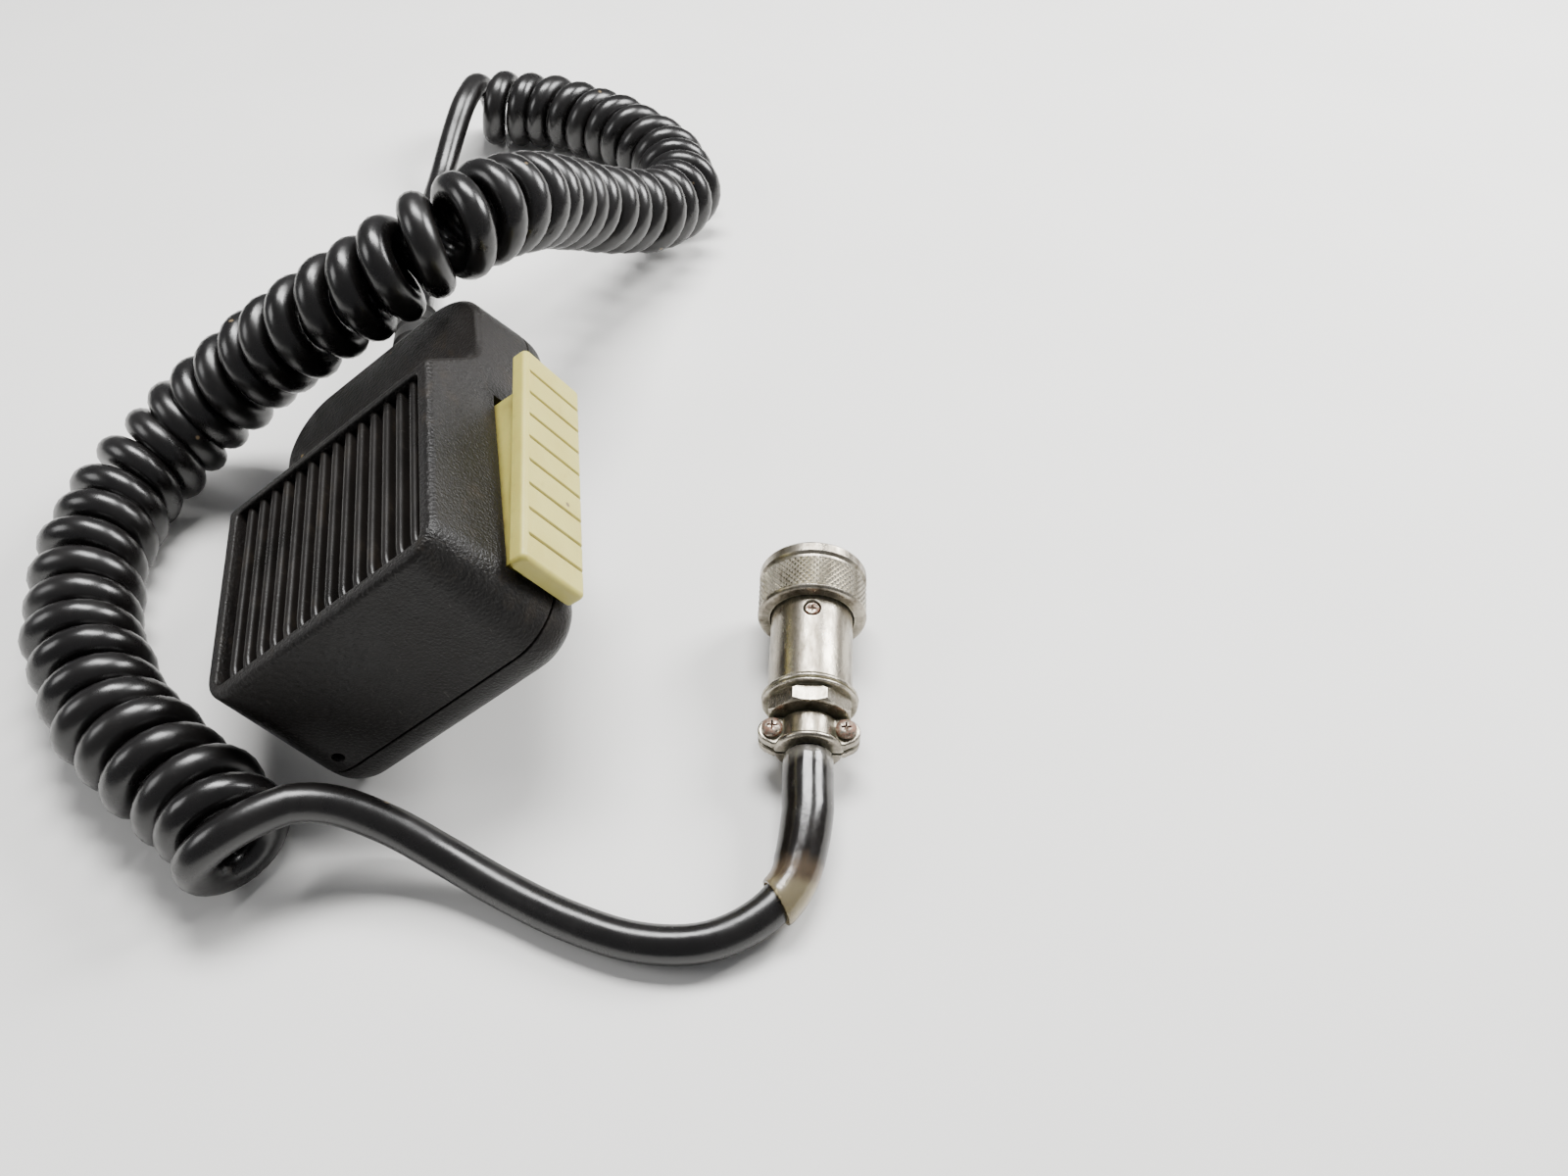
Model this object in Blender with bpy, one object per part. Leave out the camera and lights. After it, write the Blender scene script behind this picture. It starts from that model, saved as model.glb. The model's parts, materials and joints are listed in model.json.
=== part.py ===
"""Hand microphone with a curly cord and a four-pin screw-on plug.

Metres, +Z up. The microphone lies as its hang-up stud lets it lie: rolled onto its left edge
and the stud's rim, neck towards +Y, key bar on the +X side. The origin is at the bottom centre
of the microphone without its cord.

Microphone frame: x towards the key bar, y from the head end to the neck end, z from the back
face to the grille. Plug frame: z from the cord to the mating end, y up.
"""
import math

import bmesh
import bpy
from mathutils import Matrix, Vector

MM = 0.001
GAP = 0.3 * MM          # between pieces that touch
OVERSHOOT = 2.0 * MM    # how far a cutter runs past the face it cuts

# ---- microphone body ----
BODY_WIDTH = 51.2 * MM
BODY_LENGTH = 81.5 * MM
SEAM = 7.5 * MM               # height of the seam over the back face
FRONT = 30.5 * MM             # height of the grille face
NECK_FRONT = 19.4 * MM        # height of the neck's front face
HEAD_CORNER = 9.0 * MM
NECK_CORNER = 12.5 * MM
SIDE_DRAFT = 2.0 * MM         # how far the sides lean in from seam to grille
HEAD_DRAFT = 3.5 * MM
NECK_DRAFT = 2.4 * MM
EDGE_CHAMFER = 1.0 * MM       # round the grille face
BACK_ROUND = 6.0 * MM         # rounding between the back face and the sides
WALL = 2.2 * MM
GRILLE_WALL = 3.4 * MM
RAMP_START = 46.0 * MM        # where the grille face ends and drops to the neck
RAMP_SLOPE = math.radians(46)
RAMP_ROUND = 9.0 * MM
CORNER_STEPS = 6

# ---- grille ----
PANEL_RIM = 2.4 * MM         # flat border between the panel and the sides
PANEL_HALF = BODY_WIDTH / 2 - SIDE_DRAFT - PANEL_RIM
PANEL_LOW = 6.0 * MM
PANEL_HIGH = 44.2 * MM
PANEL_DEPTH = 0.8 * MM        # from the rim round the panel to the tops of the ribs
CHANNELS = 15
CHANNEL_WIDTH = 1.5 * MM
CHANNEL_DEPTH = 2.6 * MM
SLOT_MARGIN = 4.5 * MM        # from a channel's end to where it opens right through
RIB_CURL = 3.6 * MM           # length over which the ribs curve down at the head end

# ---- key bar ----
KEY_PIVOT_X = BODY_WIDTH / 2 - 4.8 * MM
KEY_PIVOT_Y = 10.0 * MM
KEY_SWING = math.radians(5.5)
KEY_CLEAR = 0.65 * MM         # pressed plate to side wall
PLATE_THICK = 3.0 * MM
PLATE_LOW = 6.5 * MM
PLATE_HIGH = 53.0 * MM
PLATE_BACK = 4.6 * MM         # z of the plate's back edge
PLATE_FRONT = 18.0 * MM
PLATE_CHAMFER = 0.9 * MM
GROOVES = 8
GROOVE_WIDTH = 0.5 * MM
GROOVE_DEPTH = 0.4 * MM
SLOT_BACK = 6.0 * MM
SLOT_FRONT = 17.0 * MM
SLOT_LOW = 7.3 * MM
SLOT_HIGH = 47.6 * MM
SLOT_CLEAR = 0.6 * MM
SKIRT_END = 46.0 * MM
TOE_LENGTH = 3.4 * MM
TOE_THICK = 2.3 * MM
SKIRT_DEPTH = 1.0 * MM        # the skirt's inner face lies this far inside the pivot
BARREL_R = 2.5 * MM
PIN_R = 1.0 * MM
PIN_CLEAR = 0.08 * MM         # running clearance of the key on its pin
PIN_LOW = 2.9 * MM
PIN_HIGH = 20.4 * MM
SPRING_LOW = 9.3 * MM
SPRING_HIGH = 13.7 * MM
SPRING_WIRE = 0.35 * MM
SPRING_R = 1.75 * MM
SPRING_TURNS = 3

# ---- fasteners in the microphone ----
SCREW_HEAD_INSET = (12.0 * MM, 8.5 * MM)    # from the side and from the end
SCREW_NECK_INSET = (11.6 * MM, 12.5 * MM)
HEAD_SCREW_X = BODY_WIDTH / 2 - SCREW_HEAD_INSET[0]
NECK_SCREW_X = BODY_WIDTH / 2 - SCREW_NECK_INSET[0]
NECK_SCREW_Y = BODY_LENGTH - SCREW_NECK_INSET[1]
CASE_SCREWS = [(-HEAD_SCREW_X, SCREW_HEAD_INSET[1]), (HEAD_SCREW_X, SCREW_HEAD_INSET[1]),
               (-NECK_SCREW_X, NECK_SCREW_Y), (NECK_SCREW_X, NECK_SCREW_Y)]
BOSS_R = 3.2 * MM
PILOT_R = 1.5 * MM
PILOT_DEPTH = 7.0 * MM
SHANK_R = 1.2 * MM
SHANK_LENGTH = 9.0 * MM
HEAD_R = 2.5 * MM
HEAD_HEIGHT = 1.7 * MM
COUNTERBORE = 3.2 * MM
STUD_Y = 37.5 * MM
STUD_R = 6.5 * MM
STUD_HEIGHT = 10.5 * MM
STUD_HEAD = 2.6 * MM
STUD_NECK_R = 3.6 * MM
STUD_BASE_R = 5.6 * MM
STUD_BASE = 1.8 * MM
STUD_SHANK_R = 1.75 * MM

# ---- sound cartridge ----
CARTRIDGE_Y = 25.0 * MM
CUP_R = 14.5 * MM
CUP_WALL = 0.8 * MM
CUP_LOW = 13.0 * MM
CUP_HIGH = 23.7 * MM
YOKE = 2.2 * MM
COVER_THICK = 1.0 * MM
GASKET_WALL = 1.3 * MM
CLOTH_THICK = 0.6 * MM
MAGNET_R = 4.4 * MM
WELL_R = CUP_R + GAP + GASKET_WALL + GAP   # the ring in the front shell that holds it
WELL_WALL = 1.2 * MM
WELL_LOW = 19.0 * MM
PAD_R = 7.5 * MM
PAD_Y = CARTRIDGE_Y - 3.0 * MM

# ---- switch ----
SWITCH_Y = 34.0 * MM
SWITCH_SIZE = Vector((8.0, 10.0, 6.3)) * MM
SWITCH_FACE_X = KEY_PIVOT_X - BARREL_R
PLUNGER_HALF = 1.4 * MM
PLUNGER_CLEAR = 0.3 * MM
BOARD_LOW = 4.5 * MM
BOARD_THICK = 1.4 * MM
BOARD_X = (SWITCH_FACE_X - 12.3 * MM, SWITCH_FACE_X - GAP)
BOARD_Y = (27.5 * MM, 57.0 * MM)
BOARD_MIDDLE_X = (BOARD_X[0] + BOARD_X[1]) / 2
BOARD_POSTS = (BOARD_Y[0] + 3.0 * MM, BOARD_Y[1] - 3.0 * MM)
POST_HOLE_LOW = WALL + 0.2 * MM

# ---- cord ----
CORD_R = 3.0 * MM
COIL_R = 9.5 * MM
EXIT_Z = 9.5 * MM             # height of the cord's exit in the neck end
CORD_BORE_R = CORD_R + GAP
CORD_INNER_Y = BODY_LENGTH - 16.5 * MM   # where the jacket ends inside the neck
CLIP_EAR = (6.6 * MM, BODY_LENGTH - 11.0 * MM)
CLIP_EAR_Z = EXIT_Z + 0.4 * MM
CLIP_THICK = 0.8 * MM
CLIP_WIDTH = 5.2 * MM
BOOT_FLANGE_R = 5.3 * MM
BOOT_NECK_R = 4.6 * MM
BOOT_ROOT_R = 5.8 * MM
BOOT_TIP_R = 4.1 * MM
BOOT_LENGTH = 21.0 * MM
SLEEVE_WALL = 0.7 * MM
SLEEVE_LENGTH = 27.0 * MM
STEP = 6.6 * MM               # between the points of a straight cord
COIL_STEP = 8.0 * MM

# ---- plug ----
PLUG_X = 57.9 * MM            # the clamp's cord end
PLUG_Y = -51.5 * MM
PLUG_HEADING = math.radians(13.6)   # clockwise from +Y, seen from above
RING_R = 9.4 * MM
RING_LOW = 26.5 * MM
RING_HIGH = 36.5 * MM
RING_BORE_R = 7.9 * MM
RING_LIP = 2.0 * MM
RING_GROOVE = 6.9 * MM        # from the ring's rear face to the groove behind its front edge
RING_CHAMFER = 0.5 * MM
BARREL_OUT_R = 7.0 * MM
BARREL_IN_R = 5.9 * MM
BARREL_LOW = 10.8 * MM
BARREL_HIGH = 33.0 * MM
SHOULDER_R = 7.6 * MM
INSERT_LOW = 21.5 * MM
INSERT_HIGH = 32.0 * MM
CONTACT_CIRCLE_R = 3.1 * MM
CONTACT_R = 0.95 * MM
SET_SCREW_Z = 24.0 * MM
FLANGE_R = 7.9 * MM
FLANGE_LOW = 9.0 * MM
NUT_R = 7.3 * MM
NUT_LOW = 5.9 * MM
EAR_HALF = 7.6 * MM
JAW_R = 4.5 * MM
CLAMP_SCREW_X = 5.9 * MM
CLAMP_SCREW_Z = 3.2 * MM
EAR_TOP = 2.0 * MM
PLUG_CORD_DEPTH = 12.0 * MM   # how far the cord runs inside the plug

# Route of the cord in metres, along its middle. The coil's points are the middle of its turns.
MIC_TAIL = [(0.9, 72.0, 18.8), (0.6, 81.0, 15.3), (0.2, 92.0, 9.8),
            (-0.2, 103.0, 5.2), (-0.4, 114.0, 3.2), (0.0, 125.0, 3.1), (1.6, 136.5, 3.2),
            (4.6, 147.5, 5.4), (8.2, 157.0, 10.0), (12.0, 165.2, 14.4), (15.6, 173.6, 16.0)]
COIL_ROUTE = [(19.0, 172.7, 9.6), (31.0, 168.9, 9.6), (43.0, 160.5, 9.6), (54.5, 147.5, 9.6),
              (62.0, 132.0, 9.6), (62.5, 116.5, 10.5), (54.5, 103.5, 14.5), (44.0, 91.5, 22.5),
              (34.5, 78.5, 32.6), (27.0, 64.0, 42.4), (19.5, 51.5, 48.3), (9.5, 43.5, 48.4),
              (-3.0, 41.5, 42.2), (-16.0, 43.5, 34.0), (-29.0, 46.0, 24.5), (-41.0, 45.0, 16.0),
              (-50.5, 38.5, 11.0), (-56.5, 28.0, 9.6), (-59.0, 14.5, 9.6), (-58.6, 0.5, 9.6),
              (-55.2, -13.0, 9.6), (-48.8, -26.0, 9.6), (-41.0, -36.2, 9.6), (-34.0, -44.0, 9.6),
              (-29.6, -51.0, 9.6)]
PLUG_TAIL = [(-28.0, -53.9, 16.0), (-21.5, -50.9, 15.6), (-14.5, -50.4, 13.2),
             (-7.0, -52.9, 9.2), (0.5, -57.6, 5.6), (8.5, -63.8, 3.5), (17.5, -70.7, 3.1),
             (27.0, -76.2, 3.1), (36.5, -78.4, 3.4), (45.0, -76.6, 4.15), (51.2, -71.6, 4.8)]

SHINY = 0.25
SATIN = 0.45
DULL = 0.65


# ---------------------------------------------------------------- general tools
def clear_scene():
    for item in list(bpy.data.objects):
        bpy.data.objects.remove(item)


def make_material(name, colour, roughness, metallic=0.0):
    material = bpy.data.materials.new(name)
    material.use_nodes = True
    shader = material.node_tree.nodes["Principled BSDF"]
    shader.inputs["Base Color"].default_value = (*colour, 1.0)
    shader.inputs["Roughness"].default_value = roughness
    shader.inputs["Metallic"].default_value = metallic
    return material


def add_object(name, data, material, parent=None):
    item = bpy.data.objects.new(name, data)
    bpy.context.scene.collection.objects.link(item)
    item.parent = parent
    if material is not None:
        data.materials.append(material)
    return item


def add_empty(name, location, rotation=(0, 0, 0), parent=None):
    item = bpy.data.objects.new(name, None)
    bpy.context.scene.collection.objects.link(item)
    item.location = location
    item.rotation_euler = rotation
    item.parent = parent
    return item


def from_bmesh(name, bm, material, parent, smooth=True):
    bmesh.ops.recalc_face_normals(bm, faces=bm.faces)
    mesh = bpy.data.meshes.new(name)
    bm.to_mesh(mesh)
    bm.free()
    if smooth:
        mesh.shade_smooth()
        mesh.set_sharp_from_angle(angle=math.radians(35))
    return add_object(name, mesh, material, parent)


def loft(rings):
    """A closed solid through rings of equally many points, capped at both ends."""
    bm = bmesh.new()
    rows = [[bm.verts.new(point) for point in ring] for ring in rings]
    for low, high in zip(rows, rows[1:]):
        for i in range(len(low)):
            j = (i + 1) % len(low)
            bm.faces.new((low[i], low[j], high[j], high[i]))
    bm.faces.new(rows[0])
    bm.faces.new(rows[-1])
    return bm


def turned(profile, sides=32, place=None):
    """A solid turned about z from (radius, height) points; a closed profile makes a ring."""
    bm = bmesh.new()
    columns = []
    for radius, height in profile:
        if radius == 0:
            columns.append([bm.verts.new((0, 0, height))])
            continue
        columns.append([bm.verts.new((radius * math.cos(math.tau * i / sides),
                                      radius * math.sin(math.tau * i / sides), height))
                        for i in range(sides)])
    pairs = list(zip(columns, columns[1:] + columns[:1]))
    for low, high in pairs:
        if len(low) == 1 and len(high) == 1:
            continue
        for i in range(sides):
            j = (i + 1) % sides
            corners = [low[i % len(low)], low[j % len(low)], high[j % len(high)], high[i % len(high)]]
            unique = list(dict.fromkeys(corners))
            bm.faces.new(unique)
    if place is not None:
        bmesh.ops.transform(bm, matrix=place, verts=bm.verts)
    return bm


def prism(outline_points, low, high, axis="z"):
    """An outline extruded from low to high along the named axis."""
    order = {"x": lambda a, b, h: (h, a, b), "y": lambda a, b, h: (a, h, b),
             "z": lambda a, b, h: (a, b, h)}[axis]
    return loft([[order(a, b, height) for a, b in outline_points] for height in (low, high)])


def block(low, high):
    corners = [(low[0], low[1]), (high[0], low[1]), (high[0], high[1]), (low[0], high[1])]
    return prism(corners, low[2], high[2])


def merge(parts):
    """Several separate solids in one bmesh, for use as one cutter."""
    joined = bmesh.new()
    for part in parts:
        scratch = bpy.data.meshes.new("scratch")
        bmesh.ops.recalc_face_normals(part, faces=part.faces)
        part.to_mesh(scratch)
        joined.from_mesh(scratch)
        part.free()
        bpy.data.meshes.remove(scratch)
    return joined


def combine(item, tool_bm, operation="DIFFERENCE"):
    """Cuts a solid out of an object, or joins one to it, and keeps the modifier live."""
    tool = from_bmesh(item.name + "_tool_%d" % len(item.modifiers), tool_bm, None, item)
    tool.hide_render = True
    tool.display_type = "WIRE"
    modifier = item.modifiers.new("shape", "BOOLEAN")
    modifier.operation = operation
    modifier.object = tool
    return tool


def along_y(x, y, z):
    """Turns a solid made about z so that its axis runs along +y from the given point."""
    return Matrix.Translation((x, y, z)) @ Matrix.Rotation(-math.pi / 2, 4, "X")


def smooth_route(points, spacing):
    """Evenly spaced points on a smooth curve through the given ones."""
    knots = [Vector(point) for point in points]
    knots = [2 * knots[0] - knots[1]] + knots + [2 * knots[-1] - knots[-2]]
    fine = []
    for a, b, c, d in zip(knots, knots[1:], knots[2:], knots[3:]):
        for step in range(20):
            t = step / 20
            fine.append(0.5 * (2 * b + (c - a) * t + (2 * a - 5 * b + 4 * c - d) * t * t
                               + (3 * b - a - 3 * c + d) * t ** 3))
    fine.append(knots[-2])
    lengths = [0.0]
    for a, b in zip(fine, fine[1:]):
        lengths.append(lengths[-1] + (b - a).length)
    count = max(2, round(lengths[-1] / spacing))
    route = []
    k = 0
    for n in range(count + 1):
        target = lengths[-1] * n / count
        while k < len(fine) - 2 and lengths[k + 1] < target:
            k += 1
        share = (target - lengths[k]) / max(lengths[k + 1] - lengths[k], 1e-9)
        route.append(fine[k].lerp(fine[k + 1], share))
    return route


def tube(name, points, radius, material, parent=None, resolution=3):
    """A round solid along a list of points, as a curve with a bevel and filled caps."""
    curve = bpy.data.curves.new(name, "CURVE")
    curve.dimensions = "3D"
    curve.bevel_depth = radius
    curve.bevel_resolution = resolution
    curve.use_fill_caps = True
    spline = curve.splines.new("POLY")
    spline.points.add(len(points) - 1)
    for target, point in zip(spline.points, points):
        target.co = (*point, 1.0)
    return add_object(name, curve, material, parent)


def screw(name, place, shank_r, shank_length, head_r, head_height, material, parent):
    """A pan-head screw: the shank runs down -z from the head's underside at z = 0."""
    profile = [(0, -shank_length), (shank_r * 0.6, -shank_length), (shank_r, -shank_length * 0.85),
               (shank_r, 0), (head_r, 0), (head_r, head_height * 0.5),
               (head_r * 0.75, head_height), (0, head_height)]
    item = from_bmesh(name, turned(profile, 14, place), material, parent)
    arm = head_r * 0.55
    width = head_r * 0.13
    depth = head_height * 0.5
    cross = [(-arm, -width), (-width, -width), (-width, -arm), (width, -arm), (width, -width),
             (arm, -width), (arm, width), (width, width), (width, arm), (-width, arm),
             (-width, width), (-arm, width)]
    recess = prism(cross, head_height - depth, head_height + OVERSHOOT)
    bmesh.ops.transform(recess, matrix=place, verts=recess.verts)
    combine(item, recess)
    return item


# ---------------------------------------------------------------- microphone shells
def body_outline(side, head, neck, z):
    """The body's outline, moved in by the given amounts at its sides and ends."""
    half = BODY_WIDTH / 2 - side
    low = head
    high = BODY_LENGTH - neck
    head_r = max(HEAD_CORNER - max(side, head), 1.0 * MM)
    neck_r = max(NECK_CORNER - max(side, neck), 1.0 * MM)
    corners = [(-half + head_r, low + head_r, head_r, 180), (half - head_r, low + head_r, head_r, 270),
               (half - neck_r, high - neck_r, neck_r, 0), (-half + neck_r, high - neck_r, neck_r, 90)]
    ring = []
    for x, y, radius, start in corners:
        for step in range(CORNER_STEPS + 1):
            angle = math.radians(start + 90 * step / CORNER_STEPS)
            ring.append((x + radius * math.cos(angle), y + radius * math.sin(angle), z))
    return ring


def drafted(z, inset):
    """The front shell's outline at height z, moved in by inset."""
    share = (z - SEAM) / (FRONT - SEAM)
    return body_outline(inset + SIDE_DRAFT * share, inset + HEAD_DRAFT * share,
                        inset + NECK_DRAFT * share, z)


def ramp_cutter(shift_y, shift_z):
    """Everything in front of the ramp and the neck's front face."""
    reach = 8 * MM
    drop = FRONT - NECK_FRONT
    corner_y = RAMP_START + drop / math.tan(RAMP_SLOPE)
    tangent = RAMP_ROUND * math.tan(RAMP_SLOPE / 2)
    centre = (corner_y + tangent, NECK_FRONT + RAMP_ROUND)
    profile = [(BODY_LENGTH + reach, NECK_FRONT), (BODY_LENGTH + reach, FRONT + reach),
               (RAMP_START - reach / math.tan(RAMP_SLOPE), FRONT + reach)]
    for step in range(7):
        angle = -math.pi / 2 - RAMP_SLOPE * (1 - step / 6)
        profile.append((centre[0] + RAMP_ROUND * math.cos(angle),
                        centre[1] + RAMP_ROUND * math.sin(angle)))
    profile = [(y + shift_y, z + shift_z) for y, z in profile]
    return prism(profile, -BODY_WIDTH, BODY_WIDTH, "x")


def grille_channels():
    """The gaps between the ribs: shallow at both ends, open right through in the middle."""
    pitch = (2 * PANEL_HALF - CHANNEL_WIDTH) / (CHANNELS - 1)
    floor = FRONT - CHANNEL_DEPTH
    through = FRONT - GRILLE_WALL - 0.6 * MM
    profile = [(PANEL_LOW, FRONT + OVERSHOOT), (PANEL_LOW, floor), (PANEL_LOW + SLOT_MARGIN, floor),
               (PANEL_LOW + SLOT_MARGIN, through), (PANEL_HIGH - SLOT_MARGIN, through),
               (PANEL_HIGH - SLOT_MARGIN, floor), (PANEL_HIGH, floor),
               (PANEL_HIGH, FRONT + OVERSHOOT)]
    gaps = []
    for n in range(CHANNELS):
        middle = -PANEL_HALF + CHANNEL_WIDTH / 2 + pitch * n
        gaps.append(prism(profile, middle - CHANNEL_WIDTH / 2, middle + CHANNEL_WIDTH / 2, "x"))
    return merge(gaps)


def rib_scoop():
    """Rounds the ribs down into the panel at the head end."""
    drop = CHANNEL_DEPTH - PANEL_DEPTH - 0.15 * MM
    low = PANEL_LOW - 0.02 * MM
    profile = [(low + RIB_CURL, FRONT + OVERSHOOT), (low, FRONT + OVERSHOOT)]
    for step in range(6):
        angle = math.radians(90 * step / 5)
        profile.append((low + RIB_CURL * (1 - math.cos(angle)),
                        FRONT - PANEL_DEPTH + 0.03 * MM - drop * (1 - math.sin(angle))))
    return prism(profile, -PANEL_HALF, PANEL_HALF, "x")


def boss(x, y, low, high, radius, sides=14):
    return turned([(0, low), (radius, low), (radius, high), (0, high)], sides,
                  Matrix.Translation((x, y, 0)))


def key_slot():
    half = BODY_WIDTH / 2
    return block((half - 6 * MM, SLOT_LOW, SLOT_BACK), (half + 4 * MM, SLOT_HIGH, SLOT_FRONT))


def cord_hole():
    length = 2 * NECK_CORNER
    return turned([(0, 0), (BOOT_NECK_R + GAP, 0), (BOOT_NECK_R + GAP, length), (0, length)], 24,
                  along_y(0, BODY_LENGTH - length / 2, EXIT_Z))


def build_front_shell(parent, material):
    rings = [drafted(SEAM + GAP / 2, 0), drafted(FRONT - EDGE_CHAMFER, 0), drafted(FRONT, EDGE_CHAMFER)]
    shell = from_bmesh("front_shell", loft(rings), material, parent)
    combine(shell, ramp_cutter(0, 0))
    ceiling = FRONT - GRILLE_WALL
    inside = from_bmesh("front_cavity", loft([drafted(SEAM - OVERSHOOT, WALL), drafted(ceiling, WALL)]),
                        None, shell)
    combine(inside, ramp_cutter(-GRILLE_WALL / 2, -WALL))
    inside.hide_render = True
    inside.display_type = "WIRE"
    hollow = shell.modifiers.new("hollow", "BOOLEAN")
    hollow.object = inside
    bosses = []
    for x, y in CASE_SCREWS:
        top = ceiling if y < RAMP_START else NECK_FRONT - WALL
        bosses.append(boss(x, y, SEAM + GAP / 2, top + 0.8 * MM, BOSS_R))
    bosses.append(boss(KEY_PIVOT_X - 0.6 * MM, KEY_PIVOT_Y, SLOT_FRONT + 0.5 * MM, ceiling + 0.8 * MM,
                       BARREL_R + 0.4 * MM))
    bosses.append(boss(CLIP_EAR[0], CLIP_EAR[1], CLIP_EAR_Z + GAP, NECK_FRONT - WALL + 0.8 * MM, 2.2 * MM))
    combine(shell, merge(bosses), "UNION")
    well = [(WELL_R, WELL_LOW), (WELL_R + WELL_WALL, WELL_LOW), (WELL_R + WELL_WALL, ceiling + 0.5 * MM),
            (WELL_R, ceiling + 0.5 * MM)]
    combine(shell, turned(well, 40, Matrix.Translation((0, CARTRIDGE_Y, 0))), "UNION")
    holes = [boss(x, y, SEAM - OVERSHOOT, SEAM + PILOT_DEPTH, PILOT_R, 12) for x, y in CASE_SCREWS]
    holes.append(boss(KEY_PIVOT_X, KEY_PIVOT_Y, SLOT_FRONT - 1 * MM, PIN_HIGH + GAP, PIN_R + GAP, 12))
    holes.append(boss(CLIP_EAR[0], CLIP_EAR[1], CLIP_EAR_Z - OVERSHOOT, CLIP_EAR_Z + 4.8 * MM, 1.2 * MM, 12))
    combine(shell, merge(holes))
    combine(shell, merge([key_slot(), cord_hole()]))
    pocket = block((-PANEL_HALF - 0.3 * MM, PANEL_LOW - 0.3 * MM, FRONT - PANEL_DEPTH),
                   (PANEL_HALF + 0.3 * MM, PANEL_HIGH + 0.3 * MM, FRONT + OVERSHOOT))
    combine(shell, pocket)
    combine(shell, grille_channels())
    combine(shell, rib_scoop())
    return shell


def build_back_shell(parent, material):
    rings = []
    for step in range(5):
        angle = math.radians(90 * step / 4)
        inset = BACK_ROUND * (1 - math.sin(angle))
        rings.append(body_outline(inset, inset, inset, BACK_ROUND * (1 - math.cos(angle))))
    rings.append(body_outline(0, 0, 0, SEAM - GAP / 2))
    shell = from_bmesh("back_shell", loft(rings), material, parent)
    floor_inset = WALL + 2.6 * MM
    cavity = [body_outline(floor_inset, floor_inset, floor_inset, WALL),
              body_outline(WALL, WALL, WALL, WALL + 2.6 * MM),
              body_outline(WALL, WALL, WALL, SEAM + OVERSHOOT)]
    combine(shell, loft(cavity))
    posts = [boss(x, y, WALL - 0.8 * MM, SEAM - GAP / 2, BOSS_R) for x, y in CASE_SCREWS]
    posts.append(boss(KEY_PIVOT_X - 0.6 * MM, KEY_PIVOT_Y, WALL - 0.8 * MM, SLOT_BACK - 0.5 * MM,
                      BARREL_R + 0.2 * MM))
    for y in BOARD_POSTS:
        posts.append(boss(BOARD_MIDDLE_X, y, WALL - 0.8 * MM, BOARD_LOW - GAP, 2.2 * MM))
    combine(shell, merge(posts), "UNION")
    holes = []
    for x, y in CASE_SCREWS:
        holes.append(boss(x, y, COUNTERBORE - 0.5 * MM, SEAM + OVERSHOOT, PILOT_R, 12))
    combine(shell, merge(holes))
    bores = [boss(x, y, -OVERSHOOT, COUNTERBORE, HEAD_R + GAP, 16) for x, y in CASE_SCREWS]
    bores.append(boss(0, STUD_Y, -OVERSHOOT, WALL + OVERSHOOT, STUD_SHANK_R + GAP, 16))
    bores.append(boss(KEY_PIVOT_X, KEY_PIVOT_Y, PIN_LOW - GAP, SLOT_BACK + OVERSHOOT, PIN_R + GAP, 12))
    bores.append(boss(BOARD_MIDDLE_X, BOARD_POSTS[1], POST_HOLE_LOW, SEAM, 0.95 * MM, 12))
    combine(shell, merge(bores))
    combine(shell, merge([key_slot(), cord_hole()]))
    return shell


def build_case_screws(parent, material):
    for n, (x, y) in enumerate(CASE_SCREWS, 1):
        place = Matrix.Translation((x, y, COUNTERBORE - GAP)) @ Matrix.Rotation(math.pi, 4, "X")
        screw("case_screw_%d" % n, place, SHANK_R, SHANK_LENGTH, HEAD_R, HEAD_HEIGHT, material, parent)


def build_stud(parent, material):
    profile = [(0, -STUD_HEIGHT), (STUD_R, -STUD_HEIGHT), (STUD_R, -STUD_HEIGHT + STUD_HEAD * 0.8),
               (STUD_R - 0.6 * MM, -STUD_HEIGHT + STUD_HEAD), (STUD_NECK_R, -STUD_HEIGHT + STUD_HEAD),
               (STUD_NECK_R, -STUD_BASE), (STUD_BASE_R, -STUD_BASE), (STUD_BASE_R, -GAP),
               (STUD_SHANK_R + GAP, -GAP), (STUD_SHANK_R + GAP, -7.5 * MM), (0, -7.5 * MM)]
    from_bmesh("hang_stud", turned(profile, 32, Matrix.Translation((0, STUD_Y, 0))), material, parent)
    place = Matrix.Translation((0, STUD_Y, WALL + GAP))
    screw("stud_screw", place, STUD_SHANK_R, 8.2 * MM, 3.2 * MM, 1.6 * MM, material, parent)


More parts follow.
